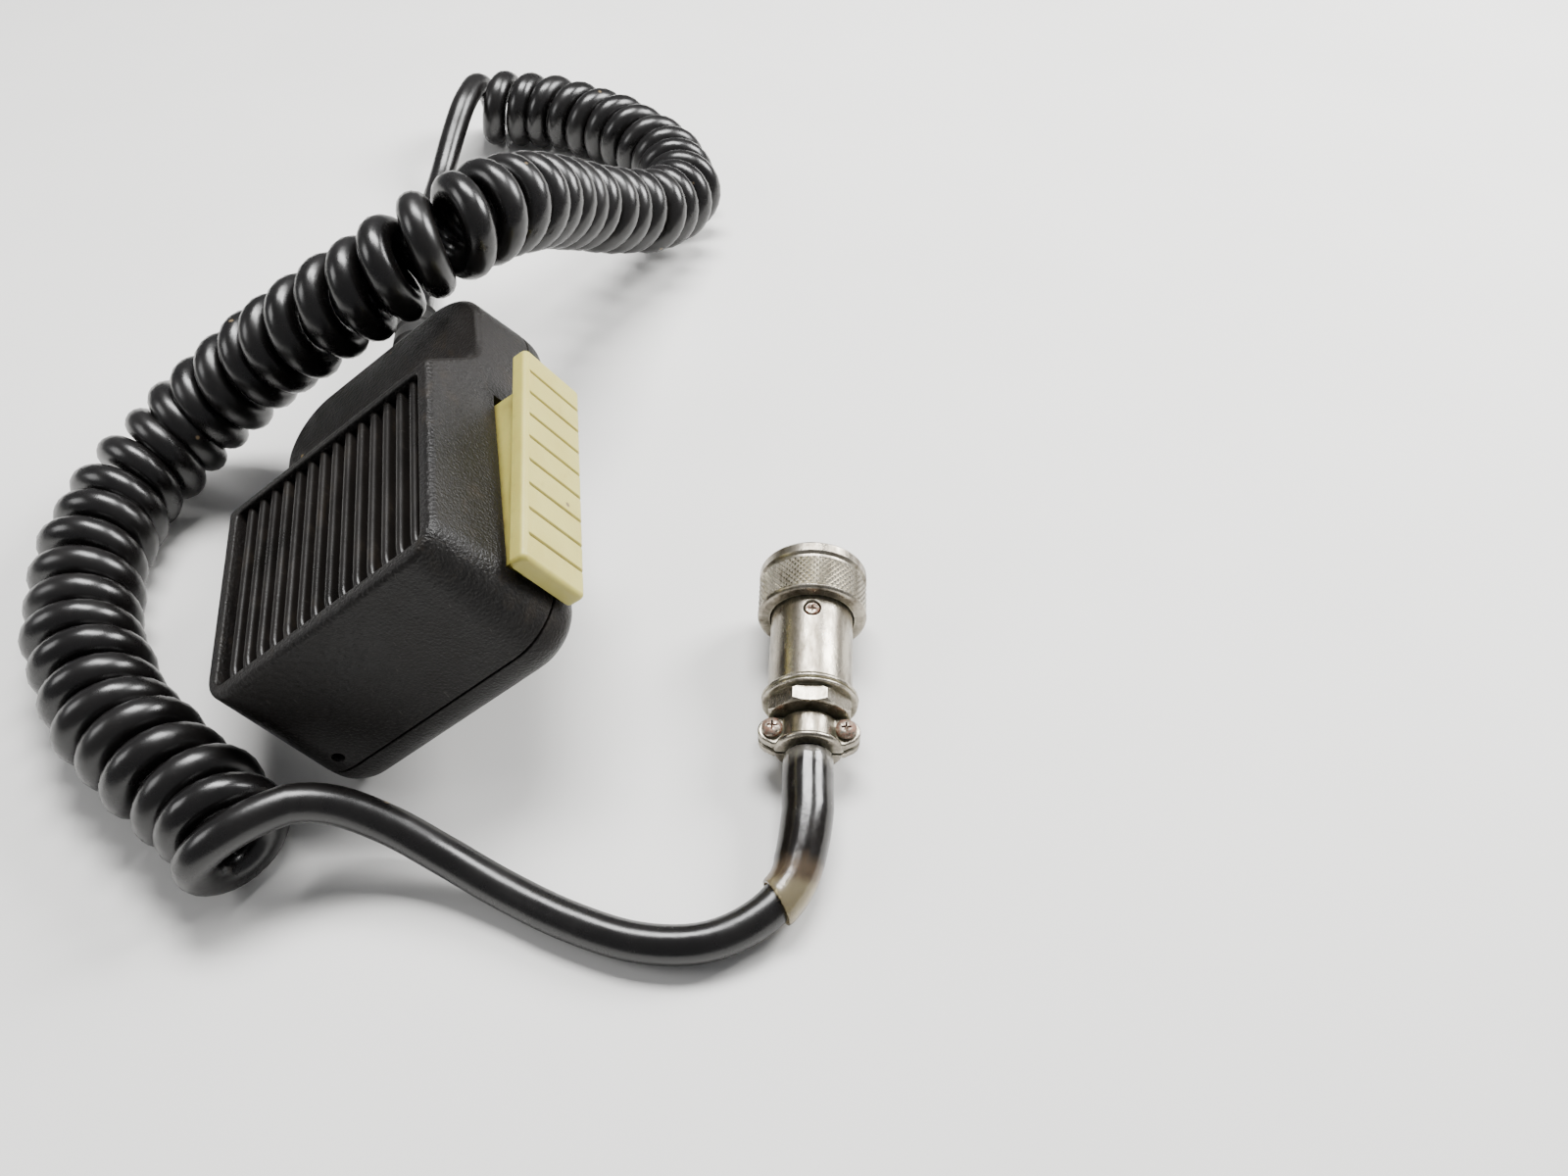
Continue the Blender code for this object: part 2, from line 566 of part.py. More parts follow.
# ---------------------------------------------------------------- sound cartridge
def build_cartridge(parent, looks):
    place = Matrix.Translation((0, CARTRIDGE_Y, 0))
    bore_r = CUP_R - CUP_WALL
    cup = [(0, CUP_LOW), (CUP_R, CUP_LOW), (CUP_R, CUP_HIGH), (bore_r, CUP_HIGH),
           (bore_r, CUP_LOW + YOKE), (0, CUP_LOW + YOKE)]
    from_bmesh("cartridge_cup", turned(cup, 40, place), looks["steel"], parent)
    low = CUP_LOW + YOKE + GAP
    magnet = [(0, low), (MAGNET_R, low), (MAGNET_R, CUP_HIGH - 3.4 * MM), (0, CUP_HIGH - 3.4 * MM)]
    from_bmesh("magnet", turned(magnet, 28, place), looks["magnet"], parent)
    coil_in = MAGNET_R + GAP
    coil = [(coil_in, low + 2 * MM), (coil_in + 0.5 * MM, low + 2 * MM),
            (coil_in + 0.5 * MM, CUP_HIGH - 2.2 * MM), (coil_in, CUP_HIGH - 2.2 * MM)]
    from_bmesh("voice_coil", turned(coil, 28, place), looks["copper"], parent)
    film = 0.25 * MM
    rim = CUP_HIGH - 1.6 * MM
    dome = [(0, rim + 0.9 * MM), (coil_in, rim), (bore_r - GAP, rim),
            (bore_r - GAP, rim - film), (coil_in, rim - film), (0, rim + 0.9 * MM - film)]
    from_bmesh("diaphragm", turned(dome, 32, place), looks["film"], parent)
    cover_low = CUP_HIGH + GAP
    cover = [(0, cover_low), (CUP_R, cover_low), (CUP_R, cover_low + COVER_THICK),
             (0, cover_low + COVER_THICK)]
    plate = from_bmesh("cartridge_cover", turned(cover, 40, place), looks["tin"], parent)
    holes = []
    for n in range(6):
        angle = math.tau * n / 6
        x = 6.5 * MM * math.cos(angle)
        y = CARTRIDGE_Y + 6.5 * MM * math.sin(angle)
        holes.append(boss(x, y, cover_low - OVERSHOOT, cover_low + OVERSHOOT, 1.6 * MM, 12))
    combine(plate, merge(holes))
    inner = CUP_R + GAP
    top = cover_low + COVER_THICK + GAP
    gasket = [(inner, WELL_LOW + 1 * MM), (inner + GASKET_WALL, WELL_LOW + 1 * MM),
              (inner + GASKET_WALL, top + 0.5 * MM), (CUP_R - 2.5 * MM, top + 0.5 * MM),
              (CUP_R - 2.5 * MM, top), (inner, top)]
    from_bmesh("cartridge_gasket", turned(gasket, 40, place), looks["rubber"], parent)
    cloth_high = FRONT - GRILLE_WALL - GAP
    cloth = [(0, cloth_high - CLOTH_THICK), (WELL_R - GAP, cloth_high - CLOTH_THICK),
             (WELL_R - GAP, cloth_high), (0, cloth_high)]
    from_bmesh("dust_cloth", turned(cloth, 40, place), looks["cloth"], parent)
    pad = [(0, WALL + GAP), (PAD_R, WALL + GAP), (PAD_R, CUP_LOW - GAP), (0, CUP_LOW - GAP)]
    from_bmesh("cartridge_pad", turned(pad, 24, Matrix.Translation((0, PAD_Y, 0))),
               looks["foam"], parent)


# ---------------------------------------------------------------- key bar, spring and switch
def key_plate_x():
    """The plate's inner and outer face, from the pivot, with the key pressed."""
    inner = BODY_WIDTH / 2 + KEY_CLEAR - KEY_PIVOT_X
    return inner, inner + PLATE_THICK


def build_key(parent, looks):
    pivot = add_empty("key_pivot", (KEY_PIVOT_X, KEY_PIVOT_Y, 0), (0, 0, -KEY_SWING), parent)
    inner, outer = key_plate_x()
    low = PLATE_LOW - KEY_PIVOT_Y
    high = PLATE_HIGH - KEY_PIVOT_Y
    chamfer = PLATE_CHAMFER

    def plate_ring(x, inset):
        return [(x, low + inset, PLATE_BACK + inset), (x, high - inset, PLATE_BACK + inset),
                (x, high - inset, PLATE_FRONT - inset), (x, low + inset, PLATE_FRONT - inset)]

    rings = [plate_ring(inner, 0), plate_ring(outer - chamfer, 0), plate_ring(outer, chamfer)]
    key = from_bmesh("key_bar", loft(rings), looks["key"], pivot, smooth=False)
    skirt_end = SKIRT_END - KEY_PIVOT_Y
    travel = (skirt_end + TOE_LENGTH) * math.sin(KEY_SWING)
    toe_out = BODY_WIDTH / 2 - WALL - SIDE_DRAFT * 0.4 - GAP - travel - KEY_PIVOT_X
    toe_in = toe_out - TOE_THICK
    skirt_low = SLOT_LOW + SLOT_CLEAR + (inner + 0.6 * MM) * math.sin(KEY_SWING) - KEY_PIVOT_Y
    skirt = [(inner + 0.6 * MM, skirt_low), (inner + 0.6 * MM, skirt_end), (toe_out, skirt_end),
             (toe_out, skirt_end + TOE_LENGTH), (toe_in, skirt_end + TOE_LENGTH),
             (toe_in, skirt_end - 4.5 * MM), (-SKIRT_DEPTH, skirt_end - 8 * MM), (-SKIRT_DEPTH, skirt_low)]
    skirt_back = SLOT_BACK + SLOT_CLEAR
    skirt_front = SLOT_FRONT - SLOT_CLEAR
    combine(key, prism(skirt, skirt_back, skirt_front), "UNION")
    combine(key, boss(0, 0, skirt_back, skirt_front, BARREL_R, 20), "UNION")
    spring_room = block((-4 * MM, -4 * MM, SPRING_LOW - GAP), (3.6 * MM, 4.2 * MM, SPRING_HIGH + GAP))
    combine(key, spring_room)
    combine(key, boss(0, 0, skirt_back - OVERSHOOT, skirt_front + OVERSHOOT, PIN_R + PIN_CLEAR, 20))
    pitch = (high - low) / (GROOVES + 1)
    grooves = []
    for n in range(GROOVES):
        y = low + pitch * (n + 1)
        grooves.append(block((outer - GROOVE_DEPTH, y - GROOVE_WIDTH / 2, PLATE_BACK - OVERSHOOT),
                             (outer + OVERSHOOT, y + GROOVE_WIDTH / 2, PLATE_FRONT + OVERSHOOT)))
    combine(key, merge(grooves))
    spring_points = []
    steps = SPRING_TURNS * 12
    rise = (SPRING_HIGH - SPRING_LOW - 2 * SPRING_WIRE) / steps
    for n in range(steps + 1):
        angle = math.radians(30) + math.tau * n / 12
        spring_points.append((SPRING_R * math.cos(angle), SPRING_R * math.sin(angle),
                              SPRING_LOW + SPRING_WIRE + rise * n))
    arm = spring_points[-1]
    spring_points.append((arm[0] + 0.4 * MM, arm[1] + 1.6 * MM, arm[2]))
    tube("key_spring", spring_points, SPRING_WIRE, looks["spring"], pivot, 1)
    return pivot


def build_pin(parent, material):
    pin = [(0, PIN_LOW), (PIN_R, PIN_LOW), (PIN_R, PIN_HIGH), (0, PIN_HIGH)]
    place = Matrix.Translation((KEY_PIVOT_X, KEY_PIVOT_Y, 0))
    from_bmesh("key_pin", turned(pin, 20, place), material, parent)


def switch_height():
    return BOARD_LOW + BOARD_THICK + GAP


def build_switch(parent, looks):
    board = from_bmesh("switch_board", block((BOARD_X[0], BOARD_Y[0], BOARD_LOW),
                                             (BOARD_X[1], BOARD_Y[1], BOARD_LOW + BOARD_THICK)),
                       looks["board"], parent, smooth=False)
    combine(board, boss(BOARD_MIDDLE_X, BOARD_POSTS[1], BOARD_LOW - 1 * MM,
                        BOARD_LOW + BOARD_THICK + 1 * MM, 1.25 * MM, 12))
    under_head = BOARD_LOW + BOARD_THICK + GAP
    place = Matrix.Translation((BOARD_MIDDLE_X, BOARD_POSTS[1], under_head))
    length = under_head - POST_HOLE_LOW - GAP
    screw("board_screw", place, 0.65 * MM, length, 2.0 * MM, 1.2 * MM, looks["steel"], parent)
    base = switch_height()
    low_x = SWITCH_FACE_X - SWITCH_SIZE.x
    body = from_bmesh("switch_body", block((low_x, SWITCH_Y - SWITCH_SIZE.y / 2, base),
                                           (SWITCH_FACE_X, SWITCH_Y + SWITCH_SIZE.y / 2,
                                            base + SWITCH_SIZE.z)), looks["switch"], parent, smooth=False)
    reach = PLUNGER_HALF + PLUNGER_CLEAR
    middle = base + SWITCH_SIZE.z / 2
    combine(body, block((SWITCH_FACE_X - 5.6 * MM, SWITCH_Y - reach, middle - reach),
                        (SWITCH_FACE_X + OVERSHOOT, SWITCH_Y + reach, middle + reach)))
    arm = SWITCH_Y - KEY_PIVOT_Y
    skirt_face = KEY_PIVOT_X - SKIRT_DEPTH / math.cos(KEY_SWING) + arm * math.tan(KEY_SWING)
    tip = skirt_face - GAP
    from_bmesh("switch_plunger", block((SWITCH_FACE_X - 2.6 * MM, SWITCH_Y - PLUNGER_HALF,
                                        middle - PLUNGER_HALF),
                                       (tip, SWITCH_Y + PLUNGER_HALF, middle + PLUNGER_HALF)),
               looks["plunger"], parent, smooth=False)


def build_leads(parent, looks):
    start = (CORD_INNER_Y - 0.8 * MM) / MM
    pad_x = (BOARD_X[0] + 1.7 * MM) / MM
    top = (BOARD_LOW + BOARD_THICK) / MM + 1.3
    routes = {
        "lead_key": [(0.8, start, 10.6), (3.0, start - 5.2, 10.4), (7.0, 54.0, 9.0), (9.5, 49.5, 8.0),
                     (9.5, 46.5, top)],
        "lead_ground": [(0.8, start, 8.4), (2.5, start - 6.2, 7.8), (pad_x - 2.5, 51.0, 7.6),
                        (pad_x - 1.5, 44.0, 7.6), (pad_x, 41.5, top)],
        "lead_audio": [(-1.0, start, 9.5), (-2.2, start - 6.2, 9.7), (-3.6, 50.0, 10.2),
                       (-4.0, 44.0, 11.0), (-3.6, 38.0, 11.6), (-3.0, 33.0, 11.9)],
    }
    for name, points in routes.items():
        smooth = smooth_route([Vector(point) * MM for point in points], 1.8 * MM)
        tube(name, smooth, 0.55 * MM, looks[name], parent, 1)


# ---------------------------------------------------------------- cord at the neck
def build_cord_clip(parent, looks):
    """A steel saddle that holds the cord's jacket against the front shell's rib."""
    inner = CORD_R + GAP
    outer = inner + CLIP_THICK
    y_low = CLIP_EAR[1] - CLIP_WIDTH / 2
    y_high = CLIP_EAR[1] + CLIP_WIDTH / 2
    foot = CLIP_EAR[0] + 2.4 * MM
    ear_high = CLIP_EAR_Z
    ear_low = ear_high - CLIP_THICK
    profile = [(foot, ear_high), (inner, ear_high)]
    for step in range(9):
        angle = math.radians(-180 * step / 8)
        profile.append((inner * math.cos(angle), EXIT_Z + inner * math.sin(angle)))
    profile += [(-inner, ear_high), (-outer, ear_high)]
    for step in range(9):
        angle = math.radians(-180 + 180 * step / 8)
        profile.append((outer * math.cos(angle), EXIT_Z + outer * math.sin(angle)))
    profile += [(outer, ear_low), (foot, ear_low)]
    clip = from_bmesh("cord_clip", prism(profile, y_low, y_high, "y"), looks["steel"], parent)
    combine(clip, boss(CLIP_EAR[0], CLIP_EAR[1], ear_low - OVERSHOOT, ear_high + OVERSHOOT, 1.3 * MM, 12))
    place = Matrix.Translation((CLIP_EAR[0], CLIP_EAR[1], ear_low - GAP)) @ Matrix.Rotation(math.pi, 4, "X")
    screw("clip_screw", place, 0.95 * MM, 4.6 * MM, 1.9 * MM, 1.3 * MM, looks["steel"], parent)


def build_boot(parent, material):
    """The rubber boot: a flange inside the neck, a groove for its wall, and a taper outside."""
    inside = BODY_LENGTH - NECK_DRAFT * 0.3 - WALL - GAP
    outside = BODY_LENGTH + GAP
    tip = outside + BOOT_LENGTH
    profile = [(CORD_BORE_R, inside - 2.2 * MM), (BOOT_FLANGE_R, inside - 2.2 * MM),
               (BOOT_FLANGE_R, inside), (BOOT_NECK_R, inside), (BOOT_NECK_R, outside),
               (BOOT_ROOT_R, outside)]
    rings = 4
    for n in range(rings):
        y = outside + BOOT_LENGTH * (n + 0.45) / rings
        radius = BOOT_ROOT_R + (BOOT_TIP_R - BOOT_ROOT_R) * (n + 0.45) / rings
        profile += [(radius, y), (radius - 0.7 * MM, y + 0.3 * MM), (radius - 0.7 * MM, y + 1.7 * MM),
                    (radius - 0.2 * MM, y + 2.0 * MM)]
    profile += [(BOOT_TIP_R, tip), (CORD_BORE_R, tip)]
    from_bmesh("cord_boot", turned(profile, 18, along_y(0, 0, EXIT_Z)), material, parent)


def build_cord(microphone, plug, looks):
    to_table = microphone.matrix_world
    start = [to_table @ Vector((0, y, EXIT_Z))
             for y in (CORD_INNER_Y, BODY_LENGTH - 4 * MM, BODY_LENGTH + BOOT_LENGTH * 0.6,
                       BODY_LENGTH + BOOT_LENGTH + 2 * MM)]
    mic_tail = start + [Vector(point) * MM for point in MIC_TAIL]
    tube("cord_tail_mic", smooth_route(mic_tail, STEP), CORD_R, looks["cord"], None, 3)
    coil = smooth_route([Vector(point) * MM for point in COIL_ROUTE], COIL_STEP)
    tube("cord_coil", coil, COIL_R, looks["cord"], None, 4)
    from_plug = plug.matrix_world
    end = [from_plug @ Vector((0, 0, z)) for z in (-12 * MM, -5 * MM, PLUG_CORD_DEPTH)]
    tail = smooth_route([Vector(point) * MM for point in PLUG_TAIL] + end, STEP)
    tube("cord_tail_plug", tail, CORD_R, looks["cord"], None, 3)
    sleeve = stretch(tail, PLUG_CORD_DEPTH + GAP, PLUG_CORD_DEPTH + GAP + SLEEVE_LENGTH)
    hose("cord_sleeve", sleeve, CORD_R + GAP, CORD_R + GAP + SLEEVE_WALL, looks["sleeve"])


def stretch(points, near, far):
    """The part of a list of points between two distances from its end, nearest end first."""
    part = []
    walked = 0.0
    for a, b in zip(points[::-1], points[-2::-1]):
        length = (b - a).length
        for limit in (near, far):
            if walked <= limit < walked + length:
                part.append(a.lerp(b, (limit - walked) / length))
        walked += length
        if near < walked < far:
            part.append(b)
    return part


def hose(name, points, inner, outer, material, sides=16):
    """A round pipe along a list of points, open at both ends."""
    frames = []
    for n, point in enumerate(points):
        ahead = points[min(n + 1, len(points) - 1)] - points[max(n - 1, 0)]
        ahead.normalize()
        side = ahead.cross(Vector((0, 0, 1))).normalized()
        frames.append((point, side, side.cross(ahead)))
    stations = [(frame, outer) for frame in frames] + [(frame, inner) for frame in reversed(frames)]
    bm = bmesh.new()
    rows = []
    for (point, side, top), radius in stations:
        rows.append([bm.verts.new(point + radius * (math.cos(math.tau * i / sides) * side
                                                    + math.sin(math.tau * i / sides) * top))
                     for i in range(sides)])
    for low, high in zip(rows, rows[1:] + rows[:1]):
        for i in range(sides):
            j = (i + 1) % sides
            bm.faces.new((low[i], low[j], high[j], high[i]))
    return from_bmesh(name, bm, material, None)


# ---------------------------------------------------------------- plug
def build_plug(parent, looks):
    ring_in = BARREL_OUT_R + GAP
    lip = RING_LOW + RING_LIP
    groove = RING_LOW + RING_GROOVE
    waist = RING_R - RING_CHAMFER
    ring = [(ring_in, RING_LOW), (waist, RING_LOW), (RING_R, RING_LOW + RING_CHAMFER),
            (RING_R, groove - RING_CHAMFER), (waist, groove), (waist, groove + RING_CHAMFER),
            (RING_R, groove + 2 * RING_CHAMFER), (RING_R, RING_HIGH - RING_CHAMFER),
            (waist, RING_HIGH), (RING_BORE_R, RING_HIGH), (RING_BORE_R, lip), (ring_in, lip)]
    from_bmesh("coupling_ring", turned(ring, 36), looks["nickel"], parent)
    shoulder = lip + GAP
    barrel = [(BARREL_IN_R, BARREL_LOW), (BARREL_OUT_R, BARREL_LOW), (BARREL_OUT_R, shoulder),
              (SHOULDER_R, shoulder), (SHOULDER_R, shoulder + 1.2 * MM),
              (BARREL_OUT_R, shoulder + 1.2 * MM), (BARREL_OUT_R, BARREL_HIGH), (BARREL_IN_R, BARREL_HIGH)]
    shell = from_bmesh("plug_barrel", turned(barrel, 32), looks["nickel"], parent)
    radial = along_y(0, 0, SET_SCREW_Z)
    hole = turned([(0, 0), (1.55 * MM, 0), (1.55 * MM, 9 * MM), (0, 9 * MM)], 16, radial)
    combine(shell, hole)
    screw_place = radial @ Matrix.Translation((0, 0, BARREL_OUT_R - 0.15 * MM))
    grub = [(0, -0.9 * MM), (1.2 * MM, -0.9 * MM), (1.2 * MM, 0), (0, 0)]
    set_screw = from_bmesh("plug_set_screw", turned(grub, 16, screw_place), looks["nickel"], parent)
    slot = block((-2 * MM, -0.2 * MM, -0.5 * MM), (2 * MM, 0.2 * MM, 1 * MM))
    bmesh.ops.transform(slot, matrix=screw_place, verts=slot.verts)
    combine(set_screw, slot)
    insert_r = BARREL_IN_R - GAP
    insert = from_bmesh("plug_insert", turned([(0, INSERT_LOW), (insert_r, INSERT_LOW),
                                               (insert_r, INSERT_HIGH), (0, INSERT_HIGH)], 32),
                        looks["insulator"], parent)
    bores = []
    for n in range(4):
        angle = math.radians(45 + 90 * n)
        x = CONTACT_CIRCLE_R * math.cos(angle)
        y = CONTACT_CIRCLE_R * math.sin(angle)
        bores.append(boss(x, y, INSERT_LOW - OVERSHOOT, INSERT_HIGH + OVERSHOOT, CONTACT_R + GAP, 14))
        sleeve = [(0, INSERT_LOW - 3 * MM), (CONTACT_R, INSERT_LOW - 3 * MM),
                  (CONTACT_R, INSERT_HIGH - 0.4 * MM), (0.55 * MM, INSERT_HIGH - 0.4 * MM),
                  (0.55 * MM, INSERT_HIGH - 7 * MM), (0, INSERT_HIGH - 7 * MM)]
        from_bmesh("contact_%d" % (n + 1), turned(sleeve, 14, Matrix.Translation((x, y, 0))),
                   looks["brass"], parent)
    combine(insert, merge(bores))
    build_clamp(parent, looks)


def build_clamp(parent, looks):
    """The collar with its fixed lower jaw, the loose saddle over the cord, and their screws."""
    spigot_r = BARREL_IN_R - GAP
    flange_high = BARREL_LOW - GAP
    bore = CORD_R + GAP
    collar_profile = [(bore, NUT_LOW), (NUT_R, NUT_LOW), (NUT_R, FLANGE_LOW), (FLANGE_R, FLANGE_LOW),
                      (FLANGE_R, flange_high), (spigot_r, flange_high), (spigot_r, BARREL_LOW + 3.2 * MM),
                      (bore, BARREL_LOW + 3.2 * MM)]
    collar = from_bmesh("clamp_collar", turned(collar_profile, 32), looks["nickel"], parent)
    flats = []
    for n in range(4):
        flat = block((NUT_R * 0.9, -8 * MM, NUT_LOW - OVERSHOOT), (12 * MM, 8 * MM, FLANGE_LOW - 0.4 * MM))
        turn = Matrix.Rotation(math.radians(45 + 90 * n), 4, "Z")
        bmesh.ops.transform(flat, matrix=turn, verts=flat.verts)
        flats.append(flat)
    combine(collar, merge(flats))
    jaw = clamp_half(-1, 0.5 * MM, NUT_LOW + 0.6 * MM)
    combine(collar, jaw, "UNION")
    combine(collar, clamp_screw_holes(0.9 * MM))
    saddle = from_bmesh("clamp_saddle", clamp_half(1, 0.5 * MM, NUT_LOW - GAP), looks["nickel"], parent)
    combine(saddle, clamp_screw_holes(1.35 * MM))
    for n, x in enumerate((-CLAMP_SCREW_X, CLAMP_SCREW_X), 1):
        place = along_y(x, EAR_TOP + GAP, CLAMP_SCREW_Z)
        screw("clamp_screw_%d" % n, place, 0.75 * MM, 3.6 * MM, 1.7 * MM, 1.1 * MM, looks["nickel"], parent)


def clamp_half(side, low, high):
    """Half of the cable clamp: a half ring round the cord with an ear on each side."""
    bore = CORD_R + GAP
    part = 0.35 * MM
    ear = EAR_TOP
    points = []
    for step in range(9):
        angle = math.asin(part / bore) + (math.pi - 2 * math.asin(part / bore)) * step / 8
        points.append((bore * math.cos(angle), side * bore * math.sin(angle)))
    points += [(-EAR_HALF, side * part), (-EAR_HALF, side * ear)]
    start = math.asin(ear / JAW_R)
    for step in range(9):
        angle = math.pi - start - (math.pi - 2 * start) * step / 8
        points.append((JAW_R * math.cos(angle), side * JAW_R * math.sin(angle)))
    points += [(EAR_HALF, side * ear), (EAR_HALF, side * part)]
    return prism(points, low, high)


def clamp_screw_holes(radius):
    holes = []
    for x in (-CLAMP_SCREW_X, CLAMP_SCREW_X):
        place = along_y(x, -6 * MM, CLAMP_SCREW_Z)
        holes.append(turned([(0, 0), (radius, 0), (radius, 12 * MM), (0, 12 * MM)], 12, place))
    return merge(holes)


# ---------------------------------------------------------------- how things lie on the table
def resting_lean():
    """The roll at which the rounded left edge and the stud's rim both touch the table."""
    across = STUD_R - (BODY_WIDTH / 2 - BACK_ROUND)
    down = BACK_ROUND + STUD_HEIGHT
    return math.atan2(across, down) + math.acos(BACK_ROUND / math.hypot(across, down))


def plug_tilt():
    """The pitch at which the ring and the collar's flange both touch the table."""
    return math.atan2(RING_R - FLANGE_R, RING_LOW - FLANGE_LOW)


def place_frames():
    lean = resting_lean()
    height = STUD_R * math.sin(lean) + STUD_HEIGHT * math.cos(lean)
    left = (BODY_WIDTH / 2 - SIDE_DRAFT) * math.cos(lean) + FRONT * math.sin(lean)
    inner, outer = key_plate_x()
    key_out = KEY_PIVOT_X + outer * math.cos(KEY_SWING) + (PLATE_HIGH - KEY_PIVOT_Y) * math.sin(KEY_SWING)
    right = key_out * math.cos(lean) - PLATE_BACK * math.sin(lean)
    microphone = add_empty("microphone", ((left - right) / 2, -BODY_LENGTH / 2, height), (0, -lean, 0))
    tilt = plug_tilt()
    plug_height = FLANGE_R * math.cos(tilt) - FLANGE_LOW * math.sin(tilt)
    plug = add_empty("plug", (PLUG_X, PLUG_Y, plug_height))
    turn = Matrix.Rotation(-PLUG_HEADING, 4, "Z") @ Matrix.Rotation(tilt - math.pi / 2, 4, "X")
    flip = Matrix.Rotation(math.pi, 4, "Z")
    plug.rotation_euler = (turn @ flip).to_euler()
    bpy.context.view_layer.update()
    return microphone, plug


def main():
    clear_scene()
    looks = {
        "shell": make_material("moulded black ABS", (0.018, 0.017, 0.017), SATIN),
        "key": make_material("moulded cream ABS", (0.56, 0.54, 0.27), SATIN),
        "nickel": make_material("nickel-plated brass", (0.55, 0.52, 0.46), SHINY, 1.0),
        "steel": make_material("zinc-plated steel", (0.52, 0.52, 0.50), SHINY, 1.0),
        "spring": make_material("spring steel", (0.35, 0.35, 0.36), SHINY, 1.0),
        "magnet": make_material("sintered magnet", (0.12, 0.12, 0.13), SATIN, 1.0),
        "copper": make_material("enamelled copper", (0.48, 0.16, 0.06), SHINY, 1.0),
        "film": make_material("polyester film", (0.70, 0.66, 0.55), SHINY),
        "tin": make_material("tinned cover", (0.60, 0.60, 0.60), SATIN, 1.0),
        "rubber": make_material("black rubber", (0.02, 0.02, 0.02), DULL),
        "cloth": make_material("black cloth", (0.015, 0.015, 0.015), 0.9),
        "foam": make_material("grey foam", (0.12, 0.12, 0.12), 0.95),
        "board": make_material("phenolic board", (0.33, 0.17, 0.06), SATIN),
        "switch": make_material("black switch case", (0.02, 0.02, 0.02), SATIN),
        "plunger": make_material("white nylon", (0.75, 0.74, 0.70), SATIN),
        "lead_audio": make_material("white wire", (0.80, 0.80, 0.78), SATIN),
        "lead_key": make_material("red wire", (0.55, 0.02, 0.02), SATIN),
        "lead_ground": make_material("bare screen wire", (0.30, 0.30, 0.30), SATIN, 1.0),
        "cord": make_material("black PVC", (0.012, 0.011, 0.011), SHINY),
        "sleeve": make_material("smoky PVC", (0.10, 0.07, 0.05), SHINY),
        "insulator": make_material("brown phenolic", (0.10, 0.05, 0.02), SATIN),
        "brass": make_material("brass", (0.60, 0.42, 0.14), SHINY, 1.0),
    }
    microphone, plug = place_frames()
    build_front_shell(microphone, looks["shell"])
    build_back_shell(microphone, looks["shell"])
    build_case_screws(microphone, looks["steel"])
    build_stud(microphone, looks["nickel"])
    build_cartridge(microphone, looks)
    build_key(microphone, looks)
    build_pin(microphone, looks["steel"])
    build_switch(microphone, looks)
    build_leads(microphone, looks)
    build_cord_clip(microphone, looks)
    build_boot(microphone, looks["rubber"])
    build_plug(plug, looks)
    build_cord(microphone, plug, looks)


main()
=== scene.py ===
"""Looks of a hand microphone with a curly cord and a screw-on plug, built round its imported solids.

Sizes are millimetres. Each piece is shaped in the frame it belongs to and is turned into world
metres when it is made: MIC for the microphone (x towards the key bar, y from the head to the neck,
z from the back to the grille), KEY for the key bar on its pivot, PLUG for the plug (z from the cord
to the mating end, y up) and TABLE for what lies on the table.
"""
import json
import math

import bmesh
import bpy
from mathutils import Matrix, Vector


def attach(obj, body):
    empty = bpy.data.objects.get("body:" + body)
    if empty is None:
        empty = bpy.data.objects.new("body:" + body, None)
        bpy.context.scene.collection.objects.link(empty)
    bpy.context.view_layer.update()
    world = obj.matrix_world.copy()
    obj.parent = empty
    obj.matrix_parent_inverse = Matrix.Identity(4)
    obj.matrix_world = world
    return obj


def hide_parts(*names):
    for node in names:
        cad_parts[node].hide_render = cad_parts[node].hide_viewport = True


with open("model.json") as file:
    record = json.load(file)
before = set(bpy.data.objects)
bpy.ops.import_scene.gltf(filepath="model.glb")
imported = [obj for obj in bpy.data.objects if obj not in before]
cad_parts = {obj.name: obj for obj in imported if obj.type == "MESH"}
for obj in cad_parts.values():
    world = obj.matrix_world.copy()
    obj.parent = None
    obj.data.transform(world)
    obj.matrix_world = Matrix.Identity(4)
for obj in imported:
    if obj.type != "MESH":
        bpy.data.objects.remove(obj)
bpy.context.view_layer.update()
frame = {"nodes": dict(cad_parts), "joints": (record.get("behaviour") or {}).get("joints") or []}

MM = 0.001
GAP = 0.3
REACH = 3.0                  # how far a cutter runs past the face it cuts

# ---- microphone body, as in the solids ----
HALF_WIDTH = 25.6
LENGTH = 81.5
SEAM = 7.5
FRONT = 30.5
NECK_FRONT = 19.4
HEAD_CORNER = 9.0
NECK_CORNER = 12.5
SIDE_DRAFT = 2.0
HEAD_DRAFT = 3.5
NECK_DRAFT = 2.4
BACK_ROUND = 6.0
WALL = 2.2
GRILLE_WALL = 3.4
RAMP_START = 46.0
RAMP_SLOPE = math.radians(46)
RAMP_ROUND = 9.0
CORNER_STEPS = 14
EDGE_ROUND = 1.15
SEAM_ROUND = 0.25

# ---- grille ----
PANEL_HALF = 21.2
PANEL_LOW = 6.0
PANEL_HIGH = 44.2
PANEL_CORNER = 1.3
PANEL_LIP = 0.35             # rounding of the rim round the ribs
CHANNELS = 15
CHANNEL_WIDTH = 1.5
CHANNEL_DEPTH = 2.6
RIB_TOP = FRONT - 0.8
RIB_CURL = 3.6
RIB_FOOT = 0.84              # half widths of a rib
RIB_CROWN = 0.74
SLOT_MARGIN = 4.5

